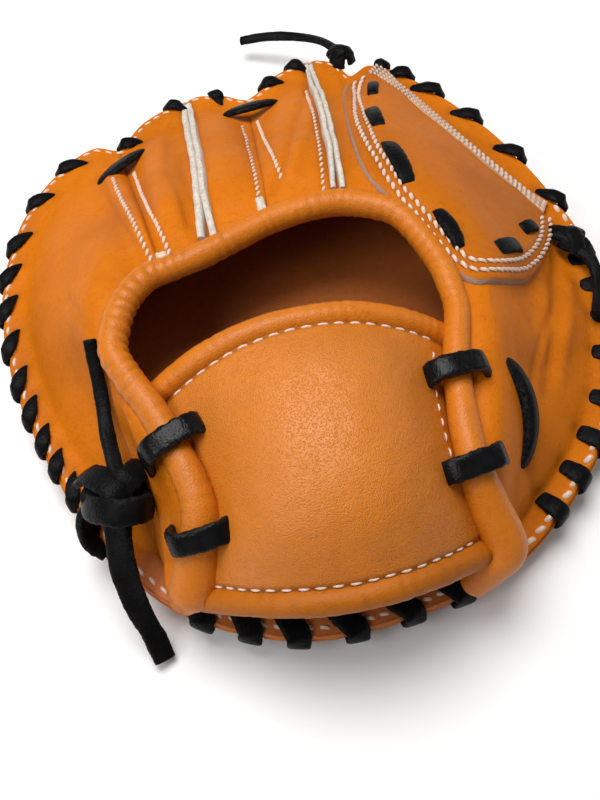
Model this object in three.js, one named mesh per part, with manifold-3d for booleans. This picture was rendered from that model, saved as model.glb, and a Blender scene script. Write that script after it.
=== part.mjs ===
import * as THREE from 'three';
import Module from 'manifold-3d';
import { mergeVertices } from 'three/addons/utils/BufferGeometryUtils.js';

// Infield training glove for the left hand, lying palm down.
// Millimetres. +Z up from the floor, +Y to the fingertips, +X to the thumb side.

const GAP = 0.3;
const WELD = 0.01;
const SEAM = 0.15;
const SHELL_WALL = 2.5;
const FLANGE_WIDTH = 10;
const EDGE_LIFT = 1;
const PALM_CENTRE = [-5, -8];
const LINING_WALL = 1.2;

const ROLL_SIDES = 8;
const ROLL_CLEAR = 0.35;
const STRAP_WALL = 3;
const STRAP_ROLL_RADIUS = 4.3;
const LOOP_WIDTH = 6;
const LOOP_WALL = 2.3;
const LACE_WIDTH = 5;
const LACE_WALL = 2;
const HOLE_SETBACK = 6;
const HOLE_WIDTH = 5.4;
const HOLE_DEPTH = 4.4;
const LEG_WIDTH = 3.6;
const LEG_WALL = 2.2;
const LEG_REACH = 2.2;
const LACE_LIFT = 0.45;
const TOP_LIFT = 0.2;
const UNDER_DROP = 1.1;
const BESIDE_SLACK = 0.5;
const BAR_WALL = 1.8;
const PATCH_WALL = 1.8;
const WELT_HALF_WIDTH = 2.2;
const WELT_RISE = 3.2;
const TAIL_DIAMETER = 4.6;
const TAIL_SIDES = 8;
const TAIL_STEPS = 9;
const KNOT_STEPS = 26;
const KNOT_SIDES = 6;
const KNOT_MEAN = 0.72;
const KNOT_SWING = 0.36;
const KNOT_CROSSING = 1.45;
const MITRE_LIMIT = 1.42;

// Sections of the back shell, each a line from the rim up to the centre of the rolled opening edge.
// lobe is how much of the climb happens in a shoulder close to the opening. The last three are rim only.
const SECTIONS = [
  { name: 'little_heel', rim: [-84, -81, 12], edge: [-63, -104, 30], lobe: 0.3 },
  { name: 'little_low', rim: [-101, -42, 13], edge: [-54, -84, 49], lobe: 0.75 },
  { name: 'little_side', rim: [-110, -3, 14], edge: [-62, -51, 55], lobe: 0.6 },
  { name: 'little_middle', rim: [-109, 36, 14], edge: [-70, -28, 56], lobe: 0.35 },
  { name: 'little_high', rim: [-94, 72, 14], edge: [-62, -8, 55], lobe: 0.2 },
  { name: 'little_tip', rim: [-72, 93, 14], edge: [-54, -1, 54], lobe: 0.15 },
  { name: 'ring_slot', rim: [-58, 97, 14], edge: [-49, 0, 54], lobe: 0.1 },
  { name: 'ring_welt', rim: [-24, 113, 14], edge: [-33, 4, 54], lobe: 0.1 },
  { name: 'middle_slot', rim: [2, 112, 14], edge: [-10, 12, 54], lobe: 0.1 },
  { name: 'index_welt', rim: [32, 123, 14], edge: [15, 14, 54], lobe: 0.1 },
  { name: 'web_slot', rim: [50, 115, 14], edge: [32, 8, 54], lobe: 0.1 },
  { name: 'web_corner', rim: [66, 111, 14], edge: [38, 3, 54], lobe: 0.1 },
  { name: 'web_middle', rim: [96, 71, 14], edge: [45, -17, 55], lobe: 0.1 },
  { name: 'web_end', rim: [111, 18, 14], edge: [44, -38, 56], lobe: 0.2 },
  { name: 'thumb_top', rim: [113, -12, 13], edge: [37, -53, 57], lobe: 0.4 },
  { name: 'thumb_middle', rim: [108, -41, 13], edge: [32, -67, 57], lobe: 0.6 },
  { name: 'thumb_low', rim: [89, -78, 13], edge: [29, -92, 54], lobe: 0.6 },
  { name: 'thumb_heel', rim: [45, -113, 12], edge: [35, -119, 34], lobe: 0.3 },
  { name: 'heel_thumb', rim: [11, -121, 12] },
  { name: 'heel_middle', rim: [-29, -121, 12] },
  { name: 'heel_little', rim: [-65, -104, 12] },
];
const LAST_BACK = 17;

// Scallops cut into the rim between the finger stalls.
const NOTCHES = [
  { at: 6, deep: 5, reach: 0.5 },
  { at: 8, deep: 5, reach: 0.5 },
  { at: 10, deep: 6, reach: 0.45 },
];

// Soft folds and swells of the back, raised or sunk along their own section line.
const FOLDS = [
  { at: 1.35, reach: 0.7, rise: 1.5, from: 0.6, to: 1 },
  { at: 4.8, reach: 0.7, rise: -3.5, from: 0.15, to: 1 },
  { at: 6.05, reach: 0.3, rise: -2.5, from: 0.1, to: 0.95 },
  { at: 6.45, reach: 0.4, rise: 2, from: 0.1, to: 0.9 },
  { at: 6.85, reach: 0.25, rise: -3, from: 0.1, to: 0.95 },
  { at: 7.45, reach: 0.5, rise: 2.5, from: 0.05, to: 0.9 },
  { at: 8.0, reach: 0.3, rise: -2, from: 0.1, to: 0.9 },
  { at: 8.55, reach: 0.5, rise: 2, from: 0.05, to: 0.9 },
  { at: 9.4, reach: 0.5, rise: -3, from: 0.1, to: 0.95 },
  { at: 13.6, reach: 0.6, rise: -2.5, from: 0.1, to: 0.8 },
  { at: 14.6, reach: 0.5, rise: 2, from: 0.1, to: 0.7 },
];

// Panels of the back, from one section to another.
const PANELS = [
  { name: 'back_little', from: 0, to: 6 },
  { name: 'back_ring_outer', from: 6, to: 7 },
  { name: 'back_ring_inner', from: 7, to: 8 },
  { name: 'back_middle', from: 8, to: 9 },
  { name: 'back_index', from: 9, to: 9.7 },
  { name: 'back_thumb', from: 9.7, to: 17 },
];
const PANEL_SPLIT = 0.018;
const PANEL_STEPS = [0, 0.5, 1];
const FLANGE_SHARE = 0.6;
const PANEL_CLIMB = [0.16, 0.34, 0.52, 0.68, 0.84, 1];

// Half width of the rolled edge round the opening.
const ROLL_SIZES = [
  { at: -0.35, radius: 2.6 },
  { at: -0.2, radius: 5.6 },
  { at: 0.1, radius: 7 },
  { at: 0.7, radius: 5.6 },
  { at: 1.6, radius: 4.8 },
  { at: 3, radius: 4.6 },
  { at: 6, radius: 4.8 },
  { at: 9, radius: 5.4 },
  { at: 11, radius: 5 },
  { at: 13, radius: 4.5 },
  { at: 15, radius: 4.5 },
  { at: 16.2, radius: 5.2 },
  { at: 16.8, radius: 5.8 },
  { at: 17.1, radius: 5 },
  { at: 17.25, radius: 2.6 },
];
const ROLL_LITTLE_END = [-69, -107, 24];
const ROLL_THUMB_END = [25.2, -119.3, 21.5];
const ROLL_FIRST = -0.35;
const ROLL_LAST = 17.25;
const ROLL_SAMPLES = 190;
const ROLL_STEPS = 36;

// The palm dish from rim to centre, as shares of the way in.
// low and high are heights above the floor, or above the rim line where onRim is set.
const PALM_RINGS = [
  { share: 0, low: -2.65, high: -0.15, onRim: true },
  { share: 0.09, low: -2.65, high: -0.15, onRim: true },
  { share: 0.16, low: 3.2, high: 10, onRim: false },
  { share: 0.24, low: 0, high: 7, onRim: false },
  { share: 0.6, low: 0, high: 6.5, onRim: false },
  { share: 0.8, low: 3.5, high: 9.5, onRim: false },
  { share: 1, low: 5.5, high: 11.5, onRim: false },
];
const LINING_RINGS = [3, 4, 5, 6];

// The wrist strap, in stations from its top edge to its bottom edge.
const STRAP_ROWS = [
  { little: 2.25, thumb: 13.5, crown: [-13, -38, 67] },
  { little: 1.6, thumb: 14.6, crown: [-13, -60, 73] },
  { little: 1, thumb: 15.5, crown: [-15, -84, 73] },
  { little: 0.5, thumb: 16.25, crown: [-17, -104, 66] },
  { little: 0.05, thumb: 16.75, crown: [-17.5, -121.5, 48] },
];
const STRAP_TUCK = 7.2;
const STRAP_INSET = 2.5;
const STRAP_BULGE = 2.4;
const STRAP_ACROSS = 10;
const STRAP_ALONG = 7;

const STRAP_LOOPS = [
  { name: 'strap_loop_1', at: 1.62, inside: 1 },
  { name: 'strap_loop_2', at: 0.72, inside: 1 },
  { name: 'strap_loop_3', at: 14.75, inside: -1 },
  { name: 'strap_loop_4', at: 16.0, inside: -1 },
];
// Centre line of a loop round the rolled edge, as offsets sideways and up.
const LOOP_PATH = [
  [-9, -4], [-9, 1.5], [-6.6, 5.8], [0, 7.4], [6.6, 7],
  [10, 4.2], [10.2, -6], [6, -11.2], [-5, -11.2], [-8.6, -9],
];

// Places of the holes along the rim for each whipstitch lace, in the order of lacing.
const RIM_LACES = [
  { name: 'rim_lace_little', holes: [4.7, 4.1, 3.55, 3.08, 2.66, 2.24, 1.86, 1.52, 1.21, 0.9, 0.58, 0.26] },
  { name: 'rim_lace_fingers', holes: [9.1, 8.76, 8.46, 7.5, 6.88, 6.5, 5.5] },
  { name: 'rim_lace_web', holes: [12.98, 12.42, 11.92, 11.5, 11.1, 10.6] },
  { name: 'rim_lace_thumb', holes: [13.75, 14.2, 14.7, 15.2, 15.68, 16.06, 16.34, 16.6] },
  { name: 'heel_lace', holes: [20.12, 19.68, 19.3, 18.84, 18.37, 17.92] },
];
const SLANT = 0.35;
const LONGEST_SLANT = 0.13;

// Single stitches lying on the back: points given as section and share of the way up.
const BARS = [
  { name: 'finger_bar_a', wide: 5.5, path: [[5.25, 0.22], [5.7, 0.2], [6.3, 0.16]] },
  { name: 'finger_bar_c', wide: 5, path: [[7.55, 0.17], [8, 0.18], [8.4, 0.19]] },
  { name: 'thumb_bar', wide: 5, path: [[14.95, 0.73], [15.25, 0.68], [15.6, 0.64], [16, 0.63]] },
];
const WEB_BARS = [
  { name: 'web_bar_1', wide: 5, path: [[10.3, 0.175], [10.4, 0.29]] },
  { name: 'web_bar_2', wide: 5, path: [[10.22, 0.37], [10.4, 0.5]] },
  { name: 'web_bar_3', wide: 7, path: [[10.35, 0.68], [11.1, 0.84]] },
  { name: 'web_bar_4', wide: 6, path: [[11.75, 0.85], [12.35, 0.9]] },
  { name: 'web_bar_5', wide: 5, path: [[12.75, 0.66], [13, 0.52]] },
  { name: 'web_bar_6', wide: 5, path: [[12.75, 0.38], [13.02, 0.3]] },
];

// Outline of the web patch, as section and share of the way up.
const PATCH_CENTRE = [11.5, 0.5];
const PATCH_OUTLINE = [
  [9.9, 0.12], [9.66, 0.26], [9.58, 0.48], [9.58, 0.68], [9.66, 0.82], [9.9, 0.9], [10.4, 0.94],
  [11.2, 0.955], [12, 0.95], [12.5, 0.93], [12.95, 0.87], [13.28, 0.76], [13.42, 0.6], [13.4, 0.45],
  [13.2, 0.31], [12.95, 0.21], [12.4, 0.18], [11.9, 0.17], [11.3, 0.16], [10.6, 0.14],
];
const PATCH_RINGS = [0, 0.5, 0.82, 1];
const WEB_EDGE = [[10.3, 0.11], [10.9, 0.12], [11.5, 0.13], [12, 0.135], [12.5, 0.14], [12.85, 0.15]];
const WEB_EDGE_HALF_WIDTH = 1.8;

const WELTS = [
  { name: 'welt_ring', at: 7, from: 0.085, to: 0.93 },
  { name: 'welt_index', at: 9, from: 0.085, to: 0.93 },
];

const KNOTS = [
  { name: 'knot_little', at: [-79, -67.5, 37.6], tilt: [0.35, -0.3, 0.4], ring: 7, tube: 2.9, flat: 0.8 },
  { name: 'knot_top', at: [46.5, 119, 18.6], tilt: [0.2, 0.1, 0.9], ring: 4.7, tube: 1.9, flat: 0.9 },
  { name: 'knot_thumb', at: [104, 1, 20.6], tilt: [0.15, 0.3, 0.2], ring: 4.9, tube: 1.9, flat: 0.9 },
];

// Free ends of the laces, from the knot outward.
const TAILS = [
  {
    name: 'lace_tail_up',
    path: [[-78, -59, 43.5], [-77.6, -49, 42.8], [-77.4, -38, 45.8], [-77.7, -30, 51.6], [-77.9, -23.5, 57.6]],
  },
  {
    name: 'lace_tail_down',
    path: [[-79.2, -73.5, 38], [-81, -89, 30.5], [-80, -99, 17], [-77, -108, 6.5], [-75.5, -114.4, 3.2]],
  },
  {
    name: 'lace_tail_top',
    path: [[46.6, 122.5, 18.5], [40.5, 132.5, 17.2], [29, 141.5, 14.5], [18, 146.8, 12], [7.9, 150.2, 9]],
  },
  {
    name: 'lace_tail_thumb',
    path: [[105, -3, 21.5], [108.5, -12, 22.6], [106.5, -23, 21.8], [101.5, -33.7, 22]],
  },
];

const COLOURS = {
  tan: { color: 0xc56a1c, roughness: 0.55, metalness: 0 },
  edge: { color: 0xb85f18, roughness: 0.5, metalness: 0 },
  lining: { color: 0x8a4218, roughness: 0.75, metalness: 0 },
  black: { color: 0x17171a, roughness: 0.45, metalness: 0 },
  pale: { color: 0xcfc6bb, roughness: 0.8, metalness: 0 },
};

const glove = new THREE.Group();
glove.name = 'infield_training_glove';

const wasm = await Module();
wasm.setup();

const v = (p) => new THREE.Vector3(p[0], p[1], p[2]);
const UP = new THREE.Vector3(0, 0, 1);
const COUNT = SECTIONS.length;

const rimCurve = new THREE.CatmullRomCurve3(SECTIONS.map((s) => v(s.rim)), true, 'centripetal');
const backSections = SECTIONS.slice(0, LAST_BACK + 1);
const edgeCurve = new THREE.CatmullRomCurve3(backSections.map((s) => v(s.edge)), false, 'centripetal');

function smooth(x) {
  const c = Math.min(Math.max(x, 0), 1);
  return c * c * (3 - 2 * c);
}

function tableValue(rows, key, at) {
  if (at <= rows[0].at) return rows[0][key];
  for (let i = 1; i < rows.length; i += 1) {
    if (at <= rows[i].at) {
      const share = (at - rows[i - 1].at) / (rows[i].at - rows[i - 1].at);
      return rows[i - 1][key] + (rows[i][key] - rows[i - 1][key]) * share;
    }
  }
  return rows[rows.length - 1][key];
}

function rimPoint(u) {
  const p = rimCurve.getPoint((((u % COUNT) + COUNT) % COUNT) / COUNT);
  for (const notch of NOTCHES) {
    const near = smooth(1 - Math.abs(u - notch.at) / notch.reach);
    const out = new THREE.Vector3(p.x - PALM_CENTRE[0], p.y - PALM_CENTRE[1], 0).normalize();
    p.addScaledVector(out, -notch.deep * near);
  }
  return p;
}

function rimFrame(u) {
  const along = rimPoint(u + 0.04).sub(rimPoint(u - 0.04)).setZ(0).normalize();
  const out = new THREE.Vector3(-along.y, along.x, 0);
  return { point: rimPoint(u), along, out };
}

function edgePoint(u) {
  return edgeCurve.getPoint(Math.min(Math.max(u, 0), LAST_BACK) / LAST_BACK);
}

// Centre of the rolled edge, which runs on past the first and the last section.
function rollPoint(at) {
  if (at < 0) return edgePoint(0).lerp(v(ROLL_LITTLE_END), at / ROLL_FIRST);
  const beyond = Math.max(at - LAST_BACK, 0) / (ROLL_LAST - LAST_BACK);
  return edgePoint(at).lerp(v(ROLL_THUMB_END), beyond);
}

// Points along the rolled edge with its radius at each.
const rollLine = [];
for (let i = 0; i <= ROLL_SAMPLES; i += 1) {
  const at = THREE.MathUtils.lerp(ROLL_FIRST, ROLL_LAST, i / ROLL_SAMPLES);
  rollLine.push([rollPoint(at), tableValue(ROLL_SIZES, 'radius', at)]);
}

function foldRise(u, t) {
  let rise = 0;
  for (const fold of FOLDS) {
    const near = Math.max(1 - Math.abs(u - fold.at) / fold.reach, 0);
    const along = (t - fold.from) / (fold.to - fold.from);
    if (near > 0 && along > 0 && along < 1) {
      rise += fold.rise * smooth(near) * Math.sin(Math.PI * along) ** 0.7;
    }
  }
  return rise;
}

// Share of section u taken up by the flat flange at the rim.
function flangeShare(u) {
  const rim = rimPoint(u);
  const edge = edgePoint(u);
  const along = rimCurve.getPoint((u + 0.04) / COUNT).sub(rimCurve.getPoint(Math.max(u - 0.04, 0) / COUNT));
  const inward = Math.max(((edge.x - rim.x) * along.y - (edge.y - rim.y) * along.x) / along.length(), 1);
  return Math.min(FLANGE_WIDTH / inward, FLANGE_SHARE);
}

// Point of the outer face of the back, on section u at share t of the way from rim to roll centre.
function backPoint(u, t) {
  const rim = rimPoint(u);
  const edge = edgePoint(u);
  const low = Math.min(Math.floor(u), LAST_BACK - 1);
  const lobe = THREE.MathUtils.lerp(backSections[low].lobe, backSections[low + 1].lobe, u - low);
  const flat = flangeShare(u);
  const s = Math.min(Math.max((t - flat) / (1 - flat), 0), 1);
  const dome = Math.sin((Math.PI / 2) * s);
  const shoulder = 0.35 * s + 0.68 * smooth((s - 0.38) / 0.42) - 0.12 * smooth((s - 0.82) / 0.18);
  const climb = dome * (1 - lobe) + shoulder * lobe;
  const point = rim.clone().lerp(edge, t);
  const base = rim.z + SEAM + SHELL_WALL;
  point.z = base + (edge.z - base + EDGE_LIFT) * climb + foldRise(u, t);
  return point;
}

function backNormal(u, t) {
  const du = 0.03;
  const dt = 0.02;
  const uLow = Math.max(u - du, 0);
  const uHigh = Math.min(u + du, LAST_BACK);
  const alongU = backPoint(uHigh, t).sub(backPoint(uLow, t));
  const alongT = backPoint(u, Math.min(t + dt, 1)).sub(backPoint(u, Math.max(t - dt, 0)));
  const normal = alongU.cross(alongT).normalize();
  return normal.z < 0 ? normal.negate() : normal;
}

// Closed solid through a list of rings of equal length.
// Its caps join the two halves of a slab, or fan over a tube.
function loft(rings, closed, slab) {
  const size = rings[0].length;
  const points = rings.flat();
  const faces = [];
  const count = rings.length;
  for (let i = 0; i < (closed ? count : count - 1); i += 1) {
    const next = (i + 1) % count;
    for (let j = 0; j < size; j += 1) {
      const k = (j + 1) % size;
      faces.push([i * size + j, i * size + k, next * size + k]);
      faces.push([i * size + j, next * size + k, next * size + j]);
    }
  }
  if (!closed) {
    for (const [ring, turn] of [[0, true], [count - 1, false]]) {
      for (let j = 1; j < size - 1; j += 1) {
        const face = slab ? slabFace(j, size) : [0, j, j + 1];
        const moved = face.map((n) => ring * size + n);
        faces.push(turn ? moved.reverse() : moved);
      }
    }
  }
  return solid(points, faces);
}

// Triangle number j of a cap that zips together the upper and the lower half of a ring.
function slabFace(j, size) {
  const step = Math.floor((j - 1) / 2);
  const far = size - 1 - step;
  return j % 2 === 1 ? [step, step + 1, far] : [step + 1, far - 1, far];
}

function solid(points, faces) {
  const positions = [];
  for (const face of faces) {
    for (const index of face) {
      const p = points[index];
      positions.push(p.x, p.y, p.z);
    }
  }
  const loose = new THREE.BufferGeometry();
  loose.setAttribute('position', new THREE.Float32BufferAttribute(positions, 3));
  const merged = mergeVertices(loose, 1e-3);
  const index = merged.index.array;
  const kept = [];
  for (let i = 0; i < index.length; i += 3) {
    const [a, b, c] = [index[i], index[i + 1], index[i + 2]];
    if (a !== b && b !== c && a !== c) kept.push(a, b, c);
  }
  const at = merged.getAttribute('position');
  let volume = 0;
  const corner = (n) => new THREE.Vector3().fromBufferAttribute(at, n);
  for (let i = 0; i < kept.length; i += 3) {
    volume += corner(kept[i]).dot(corner(kept[i + 1]).cross(corner(kept[i + 2])));
  }
  if (volume < 0) kept.reverse();
  merged.setIndex(kept);
  return merged;
}

function toSolid(geometry) {
  const at = geometry.getAttribute('position');
  const mesh = new wasm.Mesh({
    numProp: 3,
    vertProperties: new Float32Array(at.array),
    triVerts: new Uint32Array(geometry.index.array),
  });
  return new wasm.Manifold(mesh);
}

// The largest body of a solid as geometry.
function toGeometry(body) {
  const bodies = body.simplify(WELD).decompose().sort((a, b) => b.volume() - a.volume());
  const mesh = bodies[0].getMesh();
  const geometry = new THREE.BufferGeometry();
  geometry.setAttribute('position', new THREE.BufferAttribute(new Float32Array(mesh.vertProperties), 3));
  geometry.setIndex(new THREE.BufferAttribute(new Uint32Array(mesh.triVerts), 1));
  return geometry;
}

function cut(geometry, cutters) {
  return trim(toSolid(geometry), cutters);
}

function trim(body, cutters) {
  let rest = body;
  for (const cutter of cutters) rest = rest.subtract(cutter);
  return toGeometry(rest);
}

// One body from links between neighbouring rings, so that a path may touch or cross itself.
function chain(rings, closed) {
  const count = rings.length;
  let body = null;
  for (let i = 0; i < (closed ? count : count - 1); i += 1) {
    const link = toSolid(loft([rings[i], rings[(i + 1) % count]], false, false));
    body = body === null ? link : body.add(link);
  }
  return body;
}

function add(name, geometry, colour) {
  geometry.computeVertexNormals();
  const mesh = new THREE.Mesh(geometry, new THREE.MeshStandardMaterial(COLOURS[colour]));
  mesh.name = name;
  glove.add(mesh);
}

// Sections of a round tube along a list of points with a radius at each.
function tubeRings(centres, radii, sides) {
  const rings = [];
  let side = new THREE.Vector3();
  for (let i = 0; i < centres.length; i += 1) {
    const before = centres[Math.max(i - 1, 0)];
    const after = centres[Math.min(i + 1, centres.length - 1)];
    const along = after.clone().sub(before).normalize();
    if (i === 0) side = new THREE.Vector3().crossVectors(along, UP).normalize();
    side = side.addScaledVector(along, -side.dot(along)).normalize();
    const up = new THREE.Vector3().crossVectors(side, along);
    const ring = [];
    for (let k = 0; k < sides; k += 1) {
      const angle = ((k + 0.5) / sides) * Math.PI * 2;
      const point = centres[i].clone().addScaledVector(side, Math.cos(angle) * radii[i]);
      ring.push(point.addScaledVector(up, Math.sin(angle) * radii[i]));
    }
    rings.push(ring);
  }
  return rings;
}

// One section of a flat strip, given its centre, width direction, direction of travel and sizes.
function stripRing(centre, across, along, width, wall) {
  const wide = across.clone().addScaledVector(along, -across.dot(along)).normalize();
  const thick = new THREE.Vector3().crossVectors(along, wide).normalize().multiplyScalar(wall / 2);
  wide.multiplyScalar(width / 2);
  return [
    centre.clone().add(wide).add(thick),
    centre.clone().sub(wide).add(thick),
    centre.clone().sub(wide).sub(thick),
    centre.clone().add(wide).sub(thick),
  ];
}

// A flat strip along a path. across gives the width direction wanted at each point.
function ribbon(path, across, width, wall, closed) {
  const count = path.length;
  const rings = path.map((point, i) => {
    const before = closed || i > 0 ? path[(i + count - 1) % count] : null;
    const after = closed || i < count - 1 ? path[(i + 1) % count] : null;
    const leave = (after || point).clone().sub(after ? point : before).normalize();
    const arrive = (before ? point : after).clone().sub(before || point).normalize();
    const along = arrive.add(leave).normalize();
    const stretch = 1 / Math.max(along.dot(leave), 0.6);
    return stripRing(point, across[i], along, width, wall * stretch);
  });
  return loft(rings, closed, false);
}

// Stations along a panel, closer together round the scallops of the rim.
function stations(from, to) {
  const list = [from, to];
  for (let row = Math.floor(from); row < to; row += 1) {
    for (const step of PANEL_STEPS) list.push(row + step);
  }
  for (const notch of NOTCHES) {
    for (const offset of [-0.25, 0.25]) list.push(notch.at + offset);
  }
  const inside = list.filter((u) => u >= from && u <= to).sort((a, b) => a - b);
  return inside.filter((u, i) => i === 0 || u - inside[i - 1] > 0.04);
}

// Share of the way up at which section u meets the side of the rolled edge.
function panelEnd(u) {
  for (let t = 0.25; t < 1; t += 0.005) {
    const outer = backPoint(u, t);
    const inner = outer.clone().addScaledVector(backNormal(u, t), -SHELL_WALL);
    for (const [point, radius] of rollLine) {
      const near = Math.min(point.distanceTo(outer), point.distanceTo(inner));
      if (near < radius + GAP + ROLL_CLEAR) return t - 0.005;
    }
  }
  return 1;
}

// grow makes a panel thicker and wider, for clearance round it.
function panel(from, to, grow) {
  const rings = stations(from, to).map((u) => {
    const { out } = rimFrame(u);
    const flat = flangeShare(u);
    const end = panelEnd(u);
    const climb = [0, flat];
    for (const share of PANEL_CLIMB) climb.push(flat + (end - flat) * share);
    const face = (lift) => climb.map((t, i) => {
      const at = backPoint(u, t).addScaledVector(backNormal(u, t), lift);
      return i === 0 ? at.addScaledVector(out, grow) : at;
    });
    return face(grow).concat(face(-SHELL_WALL - grow).reverse());
  });
  return loft(rings, false, true);
}

// Rolled edge round the opening.
function openingRoll(grow) {
  const places = [ROLL_FIRST, -0.2];
  for (let i = 0; i <= ROLL_STEPS; i += 1) places.push((i / ROLL_STEPS) * LAST_BACK);
  places.push(17.1, ROLL_LAST);
  const radii = places.map((at) => tableValue(ROLL_SIZES, 'radius', at) + grow);
  return loft(tubeRings(places.map(rollPoint), radii, ROLL_SIDES), false, false);
}

// The padded palm dish between two faces, low and high, given as offsets from the table.
function dish(rows, low, high) {
  const rings = [];
  const list = stations(0, LAST_BACK);
  for (let u = LAST_BACK + 0.5; u < COUNT; u += 0.5) list.push(u);
  for (const u of list) {
    const rim = rimPoint(u);
    const smoothRim = rimCurve.getPoint((u % COUNT) / COUNT);
    const at = (row, height) => {
      const outer = row.onRim ? rim : smoothRim;
      const x = THREE.MathUtils.lerp(outer.x, PALM_CENTRE[0], row.share);
      const y = THREE.MathUtils.lerp(outer.y, PALM_CENTRE[1], row.share);
      return new THREE.Vector3(x, y, height + (row.onRim ? rim.z : 0));
    };
    const upper = rows.map((row) => at(row, high(row)));
    const lower = rows.map((row) => at(row, low(row)));
    rings.push(upper.concat(lower.reverse()));
  }
  return loft(rings, true, true);
}

function heelFacing() {
  const rings = [];
  for (let u = LAST_BACK + PANEL_SPLIT; u < COUNT + 0.01; u += 0.497) {
    const rim = rimPoint(u);
    const inner = rim.clone().lerp(new THREE.Vector3(PALM_CENTRE[0], PALM_CENTRE[1], rim.z), 0.088);
    rings.push([
      rim.clone().setZ(rim.z + SEAM + SHELL_WALL),
      inner.clone().setZ(rim.z + SEAM + SHELL_WALL),
      inner.clone().setZ(rim.z + SEAM),
      rim.clone().setZ(rim.z + SEAM),
    ]);
  }
  return loft(rings, false, true);
}

// Holes through the flanges at the rim, as one cutter of separate upright blocks.
function holeCutter(holes) {
  let cutter = null;
  for (const u of holes) {
    const { point, along, out } = rimFrame(u);
    const centre = point.clone().addScaledVector(out, -HOLE_SETBACK);
    const ends = [centre.clone().setZ(point.z - 7), centre.clone().setZ(point.z + 9)];
    const block = toSolid(ribbon(ends, [along, along], HOLE_WIDTH, HOLE_DEPTH, false));
    cutter = cutter === null ? block : cutter.add(block);
  }
  return cutter;
}

// Whipstitch lace: up through each hole, slanting over the rim and back under to the next.
function whipstitch(holes, grow) {
  const reach = SEAM + SHELL_WALL + GAP + LACE_LIFT + LACE_WALL / 2;
  const beside = GAP + LACE_WALL / 2 + BESIDE_SLACK;
  const place = (frame, outward, height) =>
    frame.point.clone().addScaledVector(frame.out, outward).setZ(frame.point.z + height);
  const stops = [];
  holes.forEach((u, i) => {
    const here = rimFrame(u);
    const step = i + 1 < holes.length ? holes[i + 1] - u : u - holes[i - 1];
    const slant = Math.sign(step) * Math.min(Math.abs(step) * SLANT, LONGEST_SLANT);
    const over = rimFrame(u + slant);
    const under = place(here, -HOLE_SETBACK, -reach);
    const above = place(here, -HOLE_SETBACK, reach);
    stops.push({ at: under, kind: 'corner' });
    stops.push({ at: place(here, -HOLE_SETBACK, -LEG_REACH), kind: 'leg', across: here.along });
    stops.push({ at: place(here, -HOLE_SETBACK, LEG_REACH), kind: 'leg', across: here.along });
    stops.push({ at: above, kind: 'corner' });
    stops.push({ at: place(over, beside, reach + TOP_LIFT), kind: 'rim', across: over.along });
    stops.push({ at: place(over, beside, -reach - UNDER_DROP), kind: 'rim', across: over.along });
  });
  let last = null;
  const rings = stops.map((stop, i) => {
    const before = stops[Math.max(i - 1, 0)].at;
    const after = stops[Math.min(i + 1, stops.length - 1)].at;
    if (stop.kind === 'leg') {
      last = steady(stop.across, last);
      return stripRing(stop.at, last, UP, LEG_WIDTH + 2 * grow, LEG_WALL + 2 * grow);
    }
    const leave = after.clone().sub(stop.at).normalize();
    const arrive = stop.at.clone().sub(before).normalize();
    if (i === 0) arrive.copy(stop.at).sub(rimCentre(stop.at)).setZ(0).normalize().negate();
    if (i === stops.length - 1) leave.copy(arrive).setZ(0).normalize();
    const along = arrive.clone().add(leave).normalize();
    const stretch = Math.min(1 / Math.max(along.dot(leave), 0.1), MITRE_LIMIT);
    let across = stop.across;
    if (stop.kind === 'corner') {
      const level = (Math.abs(arrive.z) < Math.abs(leave.z) ? arrive : leave).clone().setZ(0).normalize();
      across = new THREE.Vector3().crossVectors(level, UP);
    }
    last = steady(across, last);
    return stripRing(stop.at, last, along, LACE_WIDTH + 2 * grow, (LACE_WALL + 2 * grow) * stretch);
  });
  return chain(rings, false);
}

// A width direction turned round where it points against the one before it.
function steady(across, last) {
  return last !== null && across.dot(last) < 0 ? across.clone().negate() : across.clone();
}

function rimCentre(point) {
  return new THREE.Vector3(PALM_CENTRE[0], PALM_CENTRE[1], point.z);
}

// A stitch lying on the back whose ends dip to the leather.
function bar(row, base) {
  const curve = new THREE.CatmullRomCurve3(row.path.map((p) => new THREE.Vector3(p[0], p[1], 0)));
  const steps = 6;
  const path = [];
  const across = [];
  for (let i = 0; i <= steps; i += 1) {
    const at = curve.getPoint(i / steps);
    const normal = backNormal(at.x, at.y);
    const end = i === 0 || i === steps;
    const arch = Math.sin((Math.PI * i) / steps);
    const lift = base + 0.15 + (end ? BAR_WALL * 0.1 : BAR_WALL * (0.6 + 0.4 * arch));
    path.push(backPoint(at.x, at.y).addScaledVector(normal, lift));
    const ahead = curve.getPoint(Math.min(i / steps + 0.05, 1));
    const behind = curve.getPoint(Math.max(i / steps - 0.05, 0));
    const along = backPoint(ahead.x, ahead.y).sub(backPoint(behind.x, behind.y));
    across.push(along.cross(normal).normalize());
  }
  return ribbon(path, across, row.wide, BAR_WALL, false);
}

function patch(low, high) {
  const rings = PATCH_OUTLINE.map(([u, t]) => {
    const at = (share, lift) => {
      const pu = THREE.MathUtils.lerp(PATCH_CENTRE[0], u, share);
      const pt = THREE.MathUtils.lerp(PATCH_CENTRE[1], t, share);
      return backPoint(pu, pt).addScaledVector(backNormal(pu, pt), lift);
    };
    const upper = PATCH_RINGS.slice().reverse().map((share) => at(share, high));
    const lower = PATCH_RINGS.map((share) => at(share, low));
    return upper.concat(lower);
  });
  return loft(rings, true, true);
}

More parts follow.
